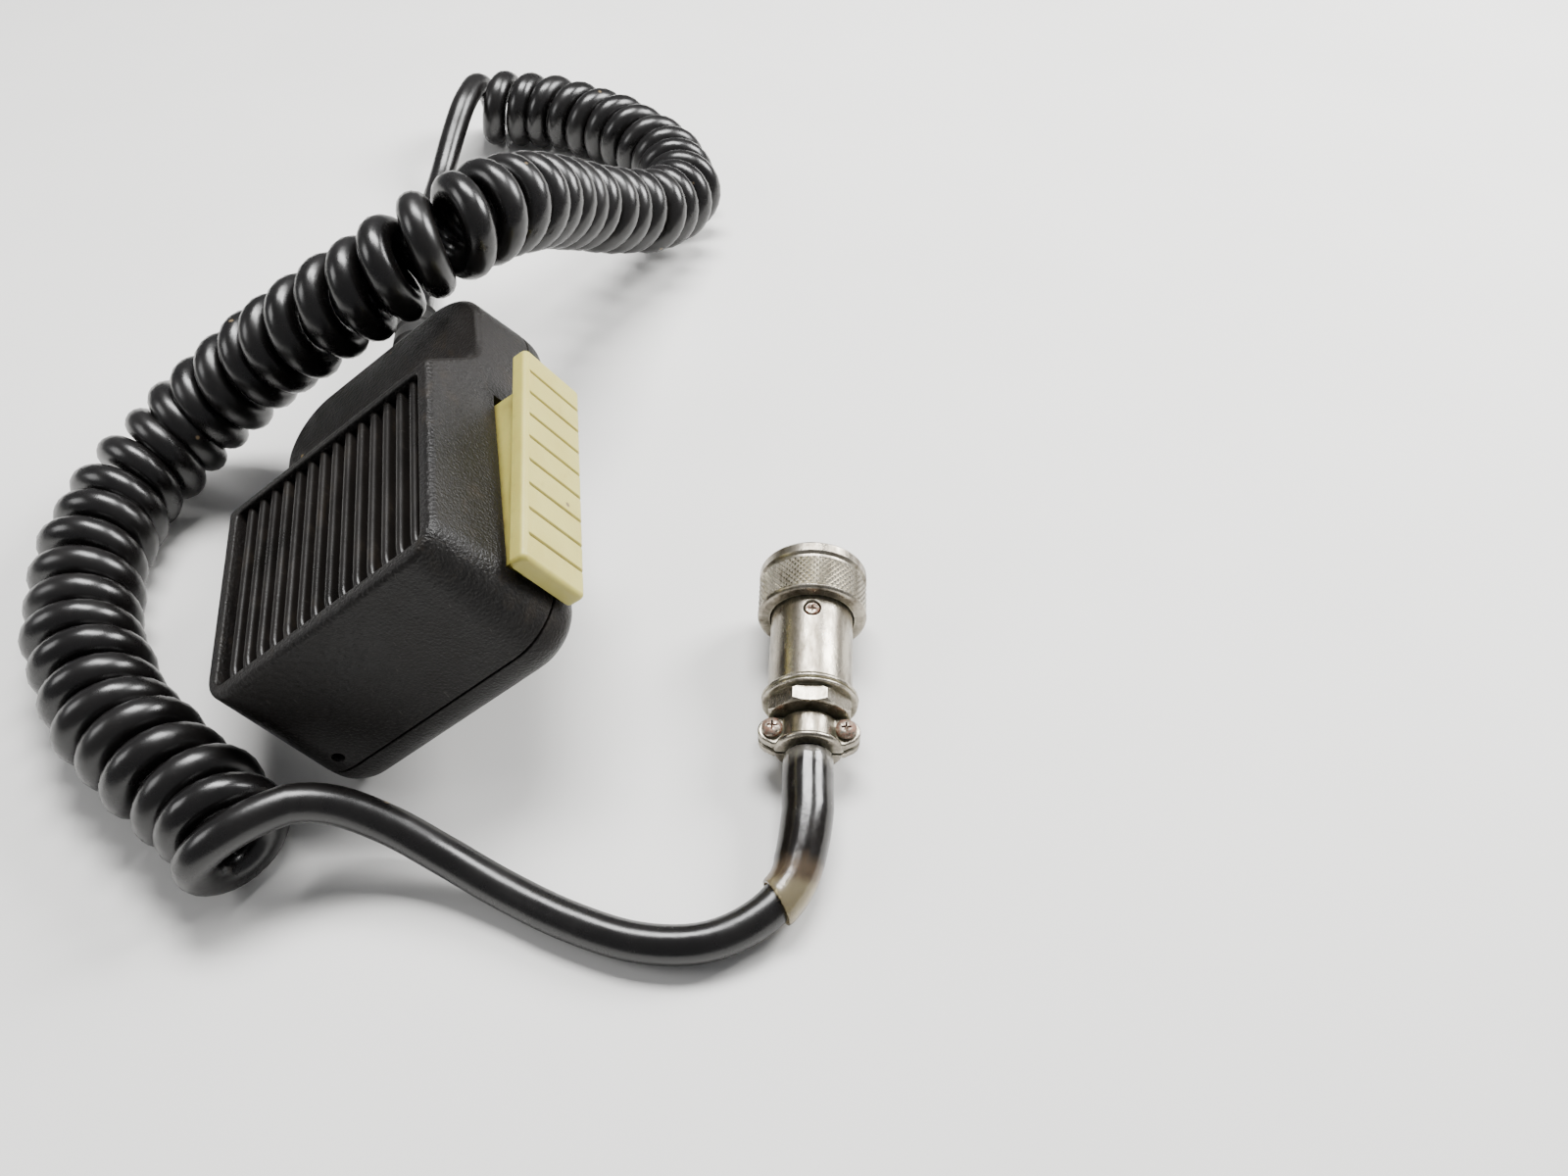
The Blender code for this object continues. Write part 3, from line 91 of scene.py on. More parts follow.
# ---- key bar ----
PIVOT = Vector((20.8, 10.0, 0.0))
KEY_ANCHOR = Vector((20.8, 10.0, 11.5))     # where the solids give the key's hinge
SWING = math.radians(5.5)
PLATE_X = (5.45, 8.45)
PLATE_Y = (-3.5, 43.0)
PLATE_Z = (4.6, 18.0)
PLATE_ROUND = 0.95
PLATE_INNER_ROUND = 0.35
GROOVES = 8
GROOVE_HALF = 0.36
GROOVE_DEPTH = 0.42
GROOVE_NOTCH = 0.3
GROOVE_STOP = 0.05           # flat left between a groove's end and the front edge
SKIRT_Z = (6.6, 16.4)
BARREL_R = 2.5

# ---- screws, stud and cord exit ----
CASE_SCREWS = [(-13.6, 8.5), (13.6, 8.5), (-14.0, 69.0), (14.0, 69.0)]
BOARD_POSTS = [(12.15, 30.5), (12.15, 54.0)]
STUD_Y = 37.5
EXIT_Z = 9.5
CARTRIDGE_Y = 25.0
WELL_R = 16.4
SCREW_POST_R = 3.2
SCREW_HOLE_R = 1.5
KEY_OPENING_Y = (7.3, 47.6)
KEY_OPENING_Z = (6.0, 17.0)
CORD_OPENING_R = 4.9
CUP_LOW = 13.0
PAD_R = 7.5
PAD_Y = 22.0

# ---- cord ----
CORD_R = 3.0
COIL_MEAN_R = 6.5
COIL_PITCH = 7.0
TURN_POINTS = 26
CORD_SIDES = 16
TAIL_STEP = 1.7
MIC_TAIL_START = (65.0, 77.5, 94.1, 104.5)          # y of the points inside the neck and the boot
MIC_TAIL = [(0.9, 72.0, 18.8), (0.6, 81.0, 15.3), (0.2, 92.0, 9.8),
            (-0.2, 103.0, 5.2), (-0.4, 114.0, 3.2), (0.0, 125.0, 3.1), (1.6, 136.5, 3.2),
            (4.6, 147.5, 5.4), (8.2, 157.0, 10.0), (12.0, 165.2, 14.4), (15.6, 173.6, 16.0)]
COIL_ROUTE = [(19.0, 172.7, 9.6), (31.0, 168.9, 9.6), (43.0, 160.5, 9.6), (54.5, 147.5, 9.6),
              (62.0, 132.0, 9.6), (62.5, 116.5, 10.5), (54.5, 103.5, 14.5), (44.0, 91.5, 22.5),
              (34.5, 78.5, 32.6), (27.0, 64.0, 42.4), (19.5, 51.5, 48.3), (9.5, 43.5, 48.4),
              (-3.0, 41.5, 42.2), (-16.0, 43.5, 34.0), (-29.0, 46.0, 24.5), (-41.0, 45.0, 16.0),
              (-50.5, 38.5, 11.0), (-56.5, 28.0, 9.6), (-59.0, 14.5, 9.6), (-58.6, 0.5, 9.6),
              (-55.2, -13.0, 9.6), (-48.8, -26.0, 9.6), (-41.0, -36.2, 9.6), (-34.0, -44.0, 9.6),
              (-29.6, -51.0, 9.6)]
PLUG_TAIL = [(-28.0, -53.9, 16.0), (-21.5, -50.9, 15.6), (-14.5, -50.4, 13.2),
             (-7.0, -52.9, 9.2), (0.5, -57.6, 5.6), (8.5, -63.8, 3.5), (17.5, -70.7, 3.1),
             (27.0, -76.2, 3.1), (36.5, -78.4, 3.4), (45.0, -76.6, 4.15), (51.2, -71.6, 4.8)]
PLUG_TAIL_END = (-12.0, -5.0, 12.0)                  # z of the points inside the plug
SLEEVE_NEAR = 12.3
SLEEVE_LENGTH = 27.0
SLEEVE_IN_R = 3.3
SLEEVE_OUT_R = 4.0

# ---- plug ----
RING_MIDDLE = 31.5           # z where the solids give the ring's joint
RING_R = 9.4
RING_LOW = 26.5
RING_HIGH = 36.5
KNURLS = 58                  # diamonds round the ring, about a millimetre each
KNURL_ROWS = 11
KNURL_DEPTH = 0.33
BARREL_OUT_R = 7.0
BARREL_IN_R = 5.9
BARREL_LOW = 10.8
BARREL_HIGH = 33.0
SET_SCREW_Z = 24.0
FLANGE_R = 7.9
FLANGE_LOW = 9.0
NUT_R = 7.3
NUT_LOW = 5.9
NUT_FLATS = 8
EAR_HALF = 7.6
EAR_TOP = 2.0
JAW_R = 4.5
EAR_R = 2.35                 # the ears' lobes round their screws
LIP_R = 5.6
LIP_LOW = 0.1
CLAMP_SCREW_X = 5.9
CLAMP_SCREW_Z = 3.2
LATHE_MARK = 0.12            # from one tool mark to the next


# ---------------------------------------------------------------- frames
def joint(name):
    return next(item for item in frame["joints"] if item["name"] == name)


def microphone_frame():
    hinge = joint("key_press")
    axis = Vector(hinge["axis"])
    lean = math.atan2(-axis.x, axis.z)
    return (Matrix.Translation(hinge["pos_m"]) @ Matrix.Rotation(-lean, 4, "Y")
            @ Matrix.Scale(MM, 4) @ Matrix.Translation(-KEY_ANCHOR))


def plug_frame():
    turn = joint("ring_turn")
    ahead = Vector(turn["axis"]).normalized()
    across = Vector((0, 0, 1)).cross(ahead).normalized()
    basis = Matrix((across, ahead.cross(across), ahead)).transposed().to_4x4()
    return (Matrix.Translation(turn["pos_m"]) @ basis
            @ Matrix.Scale(MM, 4) @ Matrix.Translation((0, 0, -RING_MIDDLE)))


MIC = microphone_frame()
KEY = MIC @ Matrix.Translation(PIVOT) @ Matrix.Rotation(-SWING, 4, "Z")
PLUG = plug_frame()
TABLE = Matrix.Scale(MM, 4)


# ---------------------------------------------------------------- camera
def add_camera():
    """Looks down on the head of the microphone from in front of it."""
    data = bpy.data.cameras.new("camera")
    data.lens = 29.25
    data.sensor_width = 36.0
    data.clip_start = 0.01
    item = bpy.data.objects.new("camera", data)
    bpy.context.scene.collection.objects.link(item)
    item.location = Vector((30.2, -167.2, 173.3)) * MM
    item.rotation_euler = Vector((0.137, 0.668, -0.731)).to_track_quat("-Z", "Y").to_euler()
    bpy.context.scene.camera = item


add_camera()


# ---------------------------------------------------------------- mesh tools
def loft(rings, closed=False):
    """A solid through rings of equally many points, capped at both ends, or closed on itself."""
    bm = bmesh.new()
    rows = [[bm.verts.new(point) for point in ring] for ring in rings]
    pairs = list(zip(rows, rows[1:]))
    if closed:
        pairs.append((rows[-1], rows[0]))
    for low, high in pairs:
        for i in range(len(low)):
            j = (i + 1) % len(low)
            bm.faces.new((low[i], low[j], high[j], high[i]))
    if not closed:
        bm.faces.new(rows[0])
        bm.faces.new(rows[-1])
    return bm


def turned(profile, sides=64, place=None):
    """A solid turned about z from (radius, height) points; one that stays off z makes a ring."""
    bm = bmesh.new()
    columns = []
    for radius, height in profile:
        count = 1 if radius == 0 else sides
        columns.append([bm.verts.new((radius * math.cos(math.tau * i / sides),
                                      radius * math.sin(math.tau * i / sides), height))
                        for i in range(count)])
    for low, high in zip(columns, columns[1:] + columns[:1]):
        if len(low) == 1 and len(high) == 1:
            continue
        for i in range(sides):
            j = (i + 1) % sides
            corners = (low[i % len(low)], low[j % len(low)], high[j % len(high)], high[i % len(high)])
            bm.faces.new(list(dict.fromkeys(corners)))
    if place is not None:
        bmesh.ops.transform(bm, matrix=place, verts=bm.verts)
    return bm


def prism(outline, low, high, axis="z"):
    order = {"x": lambda a, b, h: (h, a, b), "y": lambda a, b, h: (a, h, b),
             "z": lambda a, b, h: (a, b, h)}[axis]
    return loft([[order(a, b, height) for a, b in outline] for height in (low, high)])


def block(low, high):
    corners = [(low[0], low[1]), (high[0], low[1]), (high[0], high[1]), (low[0], high[1])]
    return prism(corners, low[2], high[2])


def post(x, y, low, high, radius, sides=32):
    return turned([(0, low), (radius, low), (radius, high), (0, high)], sides,
                  Matrix.Translation((x, y, 0)))


def arc(centre, radius, start, end, steps):
    """Points on an arc, from start to end in degrees."""
    points = []
    for step in range(steps + 1):
        angle = math.radians(start + (end - start) * step / steps)
        points.append((centre[0] + radius * math.cos(angle), centre[1] + radius * math.sin(angle)))
    return points


def rounded_rectangle(low, high, radius, steps=6):
    corners = [((high[0] - radius, high[1] - radius), 0), ((low[0] + radius, high[1] - radius), 90),
               ((low[0] + radius, low[1] + radius), 180), ((high[0] - radius, low[1] + radius), 270)]
    outline = []
    for centre, start in corners:
        outline += arc(centre, radius, start, start + 90, steps)
    return outline


def along_y(x, y, z):
    """Turns a solid made about z so that its axis runs along +y from the given point."""
    return Matrix.Translation((x, y, z)) @ Matrix.Rotation(-math.pi / 2, 4, "X")


def merge(parts):
    """Several solids that don't touch, in one mesh."""
    joined = bmesh.new()
    for part in parts:
        scratch = bpy.data.meshes.new("scratch")
        bmesh.ops.recalc_face_normals(part, faces=part.faces)
        part.to_mesh(scratch)
        joined.from_mesh(scratch)
        part.free()
        bpy.data.meshes.remove(scratch)
    return joined


def shaped(body, tool, operation="DIFFERENCE"):
    """Cuts one closed solid with another, or joins the two."""
    pair = []
    for part in (body, tool):
        bmesh.ops.recalc_face_normals(part, faces=part.faces)
        mesh = bpy.data.meshes.new("scratch")
        part.to_mesh(mesh)
        part.free()
        item = bpy.data.objects.new("scratch", mesh)
        bpy.context.scene.collection.objects.link(item)
        pair.append(item)
    modifier = pair[0].modifiers.new("shape", "BOOLEAN")
    modifier.operation = operation
    modifier.object = pair[1]
    evaluated = pair[0].evaluated_get(bpy.context.evaluated_depsgraph_get())
    result = bmesh.new()
    result.from_mesh(evaluated.to_mesh())
    evaluated.to_mesh_clear()
    for item in pair:
        mesh = item.data
        bpy.data.objects.remove(item)
        bpy.data.meshes.remove(mesh)
    return result


def soften(bm, width, segments=3, sharper=28, where=None):
    """Rounds the edges that are sharper than an angle, and whose middle passes a test."""
    flat = math.radians(0.4)
    bmesh.ops.dissolve_limit(bm, angle_limit=flat, verts=bm.verts, edges=bm.edges)
    chosen = []
    for edge in bm.edges:
        middle = (edge.verts[0].co + edge.verts[1].co) / 2
        if len(edge.link_faces) == 2 and edge.calc_face_angle(0) > math.radians(sharper):
            if where is None or where(middle):
                chosen.append(edge)
    bmesh.ops.bevel(bm, geom=chosen, offset=width, offset_type="OFFSET", segments=segments,
                    profile=0.5, affect="EDGES", clamp_overlap=True)
    return bm


def make(name, bm, place, look, body, replaced=(), sharp=32, flat_shaded=False):
    """Turns a shape into a piece: in world metres, shaded, with its finish, on its body."""
    bmesh.ops.recalc_face_normals(bm, faces=bm.faces)
    bmesh.ops.transform(bm, matrix=place, verts=bm.verts)
    mesh = bpy.data.meshes.new(name)
    bm.to_mesh(mesh)
    bm.free()
    if not flat_shaded:
        mesh.shade_smooth()
        mesh.set_sharp_from_angle(angle=math.radians(sharp))
    mesh.materials.append(look)
    piece = bpy.data.objects.new(name, mesh)
    bpy.context.scene.collection.objects.link(piece)
    weighted = piece.modifiers.new("even shading on flats", "WEIGHTED_NORMAL")
    weighted.keep_sharp = True
    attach(piece, body)
    if replaced:
        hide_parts(*replaced)
    return piece


# ---------------------------------------------------------------- routes
def smooth_route(points, spacing):
    """Evenly spaced points on a smooth curve through the given ones."""
    knots = [Vector(point) for point in points]
    knots = [2 * knots[0] - knots[1]] + knots + [2 * knots[-1] - knots[-2]]
    fine = []
    for a, b, c, d in zip(knots, knots[1:], knots[2:], knots[3:]):
        for step in range(20):
            t = step / 20
            fine.append(0.5 * (2 * b + (c - a) * t + (2 * a - 5 * b + 4 * c - d) * t * t
                               + (3 * b - a - 3 * c + d) * t ** 3))
    fine.append(knots[-2])
    return evenly(fine, spacing)


def evenly(fine, spacing):
    lengths = [0.0]
    for a, b in zip(fine, fine[1:]):
        lengths.append(lengths[-1] + (b - a).length)
    count = max(2, round(lengths[-1] / spacing))
    route = []
    k = 0
    for n in range(count + 1):
        target = lengths[-1] * n / count
        while k < len(fine) - 2 and lengths[k + 1] < target:
            k += 1
        share = (target - lengths[k]) / max(lengths[k + 1] - lengths[k], 1e-9)
        route.append(fine[k].lerp(fine[k + 1], share))
    return route


def helix(axis_points):
    """A left-handed coil round a bent axis, starting and ending over the top of its turns."""
    length = sum((b - a).length for a, b in zip(axis_points, axis_points[1:]))
    turns = round(length / COIL_PITCH)
    count = turns * TURN_POINTS
    heads = [(after - before).normalized() for before, after
             in zip(axis_points[:1] + axis_points, axis_points[1:] + axis_points[-1:])]
    points = []
    for n in range(count + 1):
        place = n / count * (len(axis_points) - 1)
        k = min(int(place), len(axis_points) - 2)
        centre = axis_points[k].lerp(axis_points[k + 1], place - k)
        ahead = heads[k].lerp(heads[k + 1], place - k).normalized()
        side = Vector((0, 0, 1)).cross(ahead).normalized()
        top = ahead.cross(side)
        turn = n / TURN_POINTS
        uneven = 0.35 * math.sin(1.7 * turn) + 0.25 * math.sin(0.63 * turn + 1.0)
        sway = 0.3 * math.sin(2.3 * turn + 0.4)
        fade = min(1.0, turn / 2, (turns - turn) / 2)
        angle = math.tau * turn
        points.append(centre + fade * (uneven * ahead + sway * side)
                      + COIL_MEAN_R * (math.cos(angle) * top + math.sin(angle) * side))
    return points


def eased(points, joint_at, reach=4, rounds=6):
    """Rounds off the corner where two lines of points were put end to end."""
    result = list(points)
    for _ in range(rounds):
        for n in range(joint_at - reach, joint_at + reach + 1):
            result[n] = (result[n - 1] + 2 * result[n] + result[n + 1]) / 4
    return result


def swept(points, radius_at, sides, bore_at=None):
    """A round bar along a line of points, or a pipe when it has a bore."""
    frames = []
    side = None
    for n, point in enumerate(points):
        ahead = (points[min(n + 1, len(points) - 1)] - points[max(n - 1, 0)]).normalized()
        if side is None:
            side = ahead.cross(Vector((0, 0, 1)))
        side = (side - side.dot(ahead) * ahead).normalized()
        frames.append((point, side, side.cross(ahead), n / (len(points) - 1)))
    stations = [(item, radius_at(item[3])) for item in frames]
    if bore_at is not None:
        stations += [(item, bore_at(item[3])) for item in reversed(frames)]
    rings = []
    for (point, across, top, _), radius in stations:
        rings.append([point + radius * (math.cos(math.tau * i / sides) * across
                                        + math.sin(math.tau * i / sides) * top)
                      for i in range(sides)])
    return loft(rings, closed=bore_at is not None)


# ---------------------------------------------------------------- node tools
def linear(hex_colour):
    """An sRGB colour written in hex, as the linear values that a shader takes."""
    values = []
    for k in (1, 3, 5):
        part = int(hex_colour[k:k + 2], 16) / 255
        values.append(part / 12.92 if part <= 0.04045 else ((part + 0.055) / 1.055) ** 2.4)
    return (*values, 1.0)


def node(tree, kind, *inputs, out=0, named=(), **settings):
    """Adds a node with its settings. An input is a value, a hex colour or another node's output,
    in the order of the sockets or under a socket's name; None leaves a socket as it is."""
    item = tree.nodes.new("ShaderNode" + kind)
    for name, value in settings.items():
        setattr(item, name, value)
    for socket, value in [*enumerate(inputs), *dict(named).items()]:
        if isinstance(value, bpy.types.NodeSocket):
            tree.links.new(value, item.inputs[socket])
        elif value is not None:
            item.inputs[socket].default_value = linear(value) if isinstance(value, str) else value
    return item.outputs[out]


def surface(name, roughness, metallic=0.0, **values):
    """A material with its constants set on the shader's own sockets."""
    look = bpy.data.materials.new(name)
    look.use_nodes = True
    inputs = look.node_tree.nodes["Principled BSDF"].inputs
    for socket, value in {"Roughness": roughness, "Metallic": metallic, **values}.items():
        inputs[socket.replace("_", " ")].default_value = value
    return look, look.node_tree


def cells(tree, place, size, kind="Noise", out=0, **values):
    """A pattern whose features are size = (x, y, z) millimetres big in the piece's own frame."""
    spot, turn, _ = place.decompose()
    where = node(tree, "TexCoord", out="Object")
    mapped = node(tree, "Mapping", where, spot, turn.to_euler(), Vector(size) * MM,
                  vector_type="TEXTURE")
    return node(tree, "Tex" + kind, out=out, named={"Vector": mapped, "Scale": 1.0, **values})


def coats(tree, body, layers):
    """Lays colours over one another, each where all of its masks are bright."""
    for masks, colour in layers:
        mask = masks[0]
        for other in masks[1:]:
            mask = node(tree, "Math", mask, other, operation="MULTIPLY")
        body = node(tree, "MixRGB", mask, body, colour)
    return body


def joined(look, body, rough=None, heights=(), metal=None):
    """Joins a material's colour, roughness and relief to its shader. Each layer of the relief is a
    pattern and its height in mm."""
    tree = look.node_tree
    below = None
    for height, depth in heights:
        below = node(tree, "Bump", named={"Strength": 1.0, "Distance": depth * MM,
                                          "Height": height, "Normal": below})
    ends = {"Base Color": body, "Roughness": rough, "Metallic": metal, "Normal": below}
    for name, source in ends.items():
        if source is not None:
            tree.links.new(source, tree.nodes["Principled BSDF"].inputs[name])
    return look


def edge_mask(tree, radius):
    """Bright where the surface turns within radius millimetres: along edges and corners."""
    softened = node(tree, "Bevel", radius * MM, samples=4)
    plain = node(tree, "NewGeometry", out="Normal")
    dot = node(tree, "VectorMath", softened, plain, out="Value", operation="DOT_PRODUCT")
    return node(tree, "MapRange", dot, 0.995, 0.93)


def upward_mask(tree, low, high):
    """Bright on faces that dust settles on."""
    up = node(tree, "SeparateXYZ", node(tree, "NewGeometry", out="Normal"), out="Z")
    return node(tree, "MapRange", up, low, high)


def specks(tree, place, size, share):
    """Scattered round crumbs: a share of the cells of a grid of size millimetres hold one."""
    grid = cells(tree, place, (size, size, size), "Voronoi", "Distance", Randomness=1.0)
    near = node(tree, "MapRange", grid, 0.16, 0.10)
    pick = node(tree, "SeparateColor", grid.node.outputs["Color"])
    return node(tree, "Math", near, node(tree, "MapRange", pick, share, share * 0.8),
                operation="MULTIPLY")


# ---------------------------------------------------------------- materials of the microphone
def moulded_abs(name, gloss=0.0):
    """Black ABS moulded in a spark-eroded tool: a fine even grain that breaks the sheen into a
    grey satin, polished darker where a hand rubs it, with dust lying in the grain."""
    look, tree = surface(name, 0.5, IOR=1.54, Specular_IOR_Level=0.22)
    grain = cells(tree, MIC, (0.5, 0.5, 0.5), Detail=2.0, Roughness=0.55)
    handling = cells(tree, MIC, (16, 16, 16), Detail=3.0)
    smear = cells(tree, MIC, (5, 9, 5), Detail=6.0, Roughness=0.7)
    scratch = cells(tree, MIC @ Matrix.Rotation(0.5, 4, "Z"), (9, 0.16, 2.0), Detail=1.0)
    scratch = node(tree, "MapRange", scratch, 0.735, 0.78)
    worn = edge_mask(tree, 0.9)
    body = node(tree, "MixRGB", node(tree, "MapRange", handling, 0.3, 0.7), "#0F0E0D", "#171412")
    body = coats(tree, body, [
        ([node(tree, "MapRange", smear, 0.56, 0.75), upward_mask(tree, 0.0, 0.8)], "#2B241B"),
        ([worn, node(tree, "MapRange", smear, 0.35, 0.6)], "#24221F"),
        ([scratch], "#35322F"),
        ([specks(tree, MIC, 2.9, 0.06), upward_mask(tree, -0.3, 0.3)], "#7B6A4C"),
    ])
    rough = node(tree, "MapRange", handling, 0.3, 0.7, 0.33 - gloss, 0.45 - gloss)
    rough = node(tree, "Math", rough, node(tree, "MapRange", smear, 0.4, 0.8, 0.0, 0.12),
                 operation="ADD")
    return joined(look, body, rough, [(grain, 0.2 - gloss * 1.7), (smear, 0.012)])


def moulded_cream_abs():
    """Cream ABS moulded smooth and yellowed by light: an even satin with brown painted shade in the
    grooves and hollows, and faint stains where fingers press."""
    look, tree = surface("cream ABS, moulded smooth and yellowed", 0.42, IOR=1.54,
                         Subsurface_Weight=0.08, Subsurface_Scale=0.0008)
    cloud = cells(tree, MIC, (7, 9, 7), Detail=4.0)
    stain = cells(tree, MIC, (2.2, 3.4, 2.2), Detail=6.0, Roughness=0.7)
    grain = cells(tree, MIC, (0.3, 0.3, 0.3), Detail=2.0)
    # painted shade: the grooves, found by pointiness, and the hollows, found by ambient occlusion, are
    # darkened brown
    point = node(tree, "NewGeometry", out="Pointiness")
    groove = node(tree, "MapRange", point, 0.497, 0.43)
    shade = node(tree, "AmbientOcclusion", None, 1.2 * MM, out="AO", samples=6)
    groove_shade = node(tree, "Math", node(tree, "MapRange", shade, 0.9, 0.45), groove, operation="MAXIMUM")
    body = node(tree, "MixRGB", node(tree, "MapRange", cloud, 0.35, 0.7), "#BBB25C", "#B0A54E")
    body = coats(tree, body, [
        ([node(tree, "MapRange", stain, 0.60, 0.78, 0.0, 0.55)], "#978945"),
        # brown painted shade in the grooves and hollows, made patchy by the stains
        ([groove_shade, node(tree, "MapRange", stain, 0.25, 0.6, 0.45, 0.95)], "#6E6236"),
        ([specks(tree, MIC, 3.4, 0.10)], "#6B5A38"),
    ])
    return joined(look, body, node(tree, "MapRange", stain, 0.3, 0.8, 0.36, 0.52),
                  [(grain, 0.02), (stain, 0.02)])


def extruded_pvc():
    """Black PVC extruded over the wires: a wet gloss with die lines along it, dulled in patches
    by skin grease and grey dust."""
    look, tree = surface("black PVC, extruded gloss", 0.22, IOR=1.53)
    haze = cells(tree, TABLE, (11, 11, 11), Detail=5.0, Roughness=0.65)
    fine = cells(tree, TABLE, (0.9, 0.9, 0.9), Detail=4.0, Roughness=0.7)
    wave = cells(tree, TABLE, (2.5, 2.5, 2.5), Detail=2.0)
    dust = node(tree, "Math", node(tree, "MapRange", fine, 0.6, 0.85),
                node(tree, "MapRange", haze, 0.5, 0.8), operation="MULTIPLY")
    body = node(tree, "MixRGB", node(tree, "MapRange", haze, 0.3, 0.7), "#0B0A0A", "#110F0E")
    body = coats(tree, body, [
        ([dust, upward_mask(tree, -0.2, 0.7)], "#332C24"),
        ([specks(tree, TABLE, 3.4, 0.035)], "#6B5C46"),
    ])
    rough = node(tree, "MapRange", haze, 0.3, 0.75, 0.22, 0.36)
    rough = node(tree, "Math", rough, node(tree, "MapRange", dust, 0.0, 1.0, 0.0, 0.3), operation="ADD")
    return joined(look, body, rough, [(wave, 0.035), (fine, 0.006)])


def smoky_pvc():
    """Clear PVC hose gone brown with age: see-through at its cut ends, smoky where it grips."""
    look, tree = surface("clear PVC sleeve, aged smoky", 0.16, IOR=1.53, Transmission_Weight=0.82)
    spot, turn, _ = PLUG.decompose()
    where = node(tree, "TexCoord", out="Object")
    local = node(tree, "Mapping", where, spot, turn.to_euler(), (MM, MM, MM), vector_type="TEXTURE")
    along = node(tree, "SeparateXYZ", local, out="Z")
    cloud = cells(tree, PLUG, (3, 3, 5), Detail=5.0, Roughness=0.65)
    wander = node(tree, "Math", along, node(tree, "MapRange", cloud, 0.2, 0.8, -1.6, 1.6),
                  operation="ADD")
    body = node(tree, "MixRGB", node(tree, "MapRange", wander, -3.6, -2.2), "#2E2924", "#A09C92")
    body = coats(tree, body, [
        ([node(tree, "MapRange", wander, -18.5, -20.5)], "#86735C"),
        ([node(tree, "MapRange", wander, -22.0, -23.5)], "#C2B592"),
    ])
    return joined(look, body, node(tree, "MapRange", cloud, 0.3, 0.8, 0.10, 0.34), [(cloud, 0.06)])


def nickel_plate(name, place, polish=0.0, rust=0.0):
    """Nickel plate on turned brass: soft grey metal with a warm cast, tool marks round it,
    brown-grey patina in clouds, green-grey corrosion in the corners, and rust on the screws."""
    look, tree = surface(name, 0.3, 1.0)
    tool = cells(tree, place, (40, 40, LATHE_MARK), Detail=2.0)
    cloud = cells(tree, place, (3.2, 3.2, 9.0), Detail=6.0, Roughness=0.68)
    pits = cells(tree, place, (0.45, 0.45, 0.6), Detail=3.0, Roughness=0.7)
    shade = node(tree, "AmbientOcclusion", None, 1.6 * MM, out="AO", samples=6)
    hollow = node(tree, "MapRange", shade, 0.85, 0.35)
    worn = edge_mask(tree, 0.5)
    dull = node(tree, "MapRange", cloud, 0.42, 0.68)
    body = node(tree, "MixRGB", dull, "#A8A193", "#5C5448")
    body = coats(tree, body, [
        ([node(tree, "MapRange", pits, 0.58, 0.72), dull], "#463E33"),
        ([hollow, node(tree, "MapRange", pits, 0.35, 0.6)], "#6C6D50"),
        ([worn, node(tree, "MapRange", cloud, 0.7, 0.4)], "#D2CBBB"),
    ])
    metal = node(tree, "MapRange",
                 node(tree, "Math", hollow, node(tree, "MapRange", pits, 0.35, 0.6),
                      operation="MULTIPLY"), 0.2, 1.0, 1.0, 0.45)
    rough = node(tree, "MapRange", cloud, 0.35, 0.75, 0.20 - polish, 0.44 - polish)
    rough = node(tree, "Math", rough, node(tree, "MapRange", hollow, 0.0, 1.0, 0.0, 0.25),
                 operation="ADD")
    if rust:
        patch = cells(tree, place, (0.7, 0.7, 0.7), Detail=6.0, Roughness=0.75)
        rusty = node(tree, "Math", node(tree, "MapRange", patch, 0.62 - rust, 0.72 - rust),
                     node(tree, "MapRange", shade, 0.98, 0.6, 0.75, 1.0), operation="MULTIPLY")
        body = node(tree, "MixRGB", rusty, body,
                    node(tree, "MixRGB", node(tree, "MapRange", pits, 0.35, 0.65), "#7A4222",
                         "#3E2216"))
        metal = node(tree, "Math", metal, node(tree, "MapRange", rusty, 0.0, 1.0, 1.0, 0.05),
                     operation="MULTIPLY")
        rough = node(tree, "Math", rough, node(tree, "MapRange", rusty, 0.0, 1.0, 0.0, 0.45),
                     operation="ADD")
    return joined(look, body, rough, [(tool, 0.012), (pits, 0.03), (cloud, 0.02)], metal)


def moulded_rubber():
    """Black rubber pressed in a mould: a dead matt skin, chalky where it flexes."""
    look, tree = surface("black rubber, moulded matt", 0.7, IOR=1.52)
    bloom = cells(tree, MIC, (2.4, 2.4, 2.4), Detail=6.0, Roughness=0.7)
    fine = cells(tree, MIC, (0.25, 0.25, 0.25), Detail=2.0)
    body = node(tree, "MixRGB", node(tree, "MapRange", bloom, 0.45, 0.8), "#171615", "#302D2A")
    body = coats(tree, body, [
        ([edge_mask(tree, 0.5), node(tree, "MapRange", bloom, 0.4, 0.6)], "#3B3834"),
    ])
    return joined(look, body, node(tree, "MapRange", bloom, 0.3, 0.8, 0.58, 0.82),
                  [(fine, 0.02), (bloom, 0.03)])


# ---------------------------------------------------------------- materials of the inner pieces
def stock(name, colours, size, rough, depth, kind="Noise", metallic=0.0, place=MIC, pattern=None,
          **values):
    """A plain stock material: two colours and two roughnesses over one pattern, with its relief."""
    look, tree = surface(name, rough[0], metallic, **values)
    height = cells(tree, place, size, kind, "Distance" if kind == "Voronoi" else "Fac",
                   **(pattern or {}))
    cloud = cells(tree, place, (6, 6, 6), Detail=4.0)
    body = node(tree, "MixRGB", node(tree, "MapRange", height, 0.25, 0.75), *colours)
    body = node(tree, "MixRGB", node(tree, "MapRange", cloud, 0.45, 0.85, 0.0, 0.35), body, colours[1])
    return joined(look, body, node(tree, "MapRange", cloud, 0.3, 0.7, *rough), [(height, depth)])


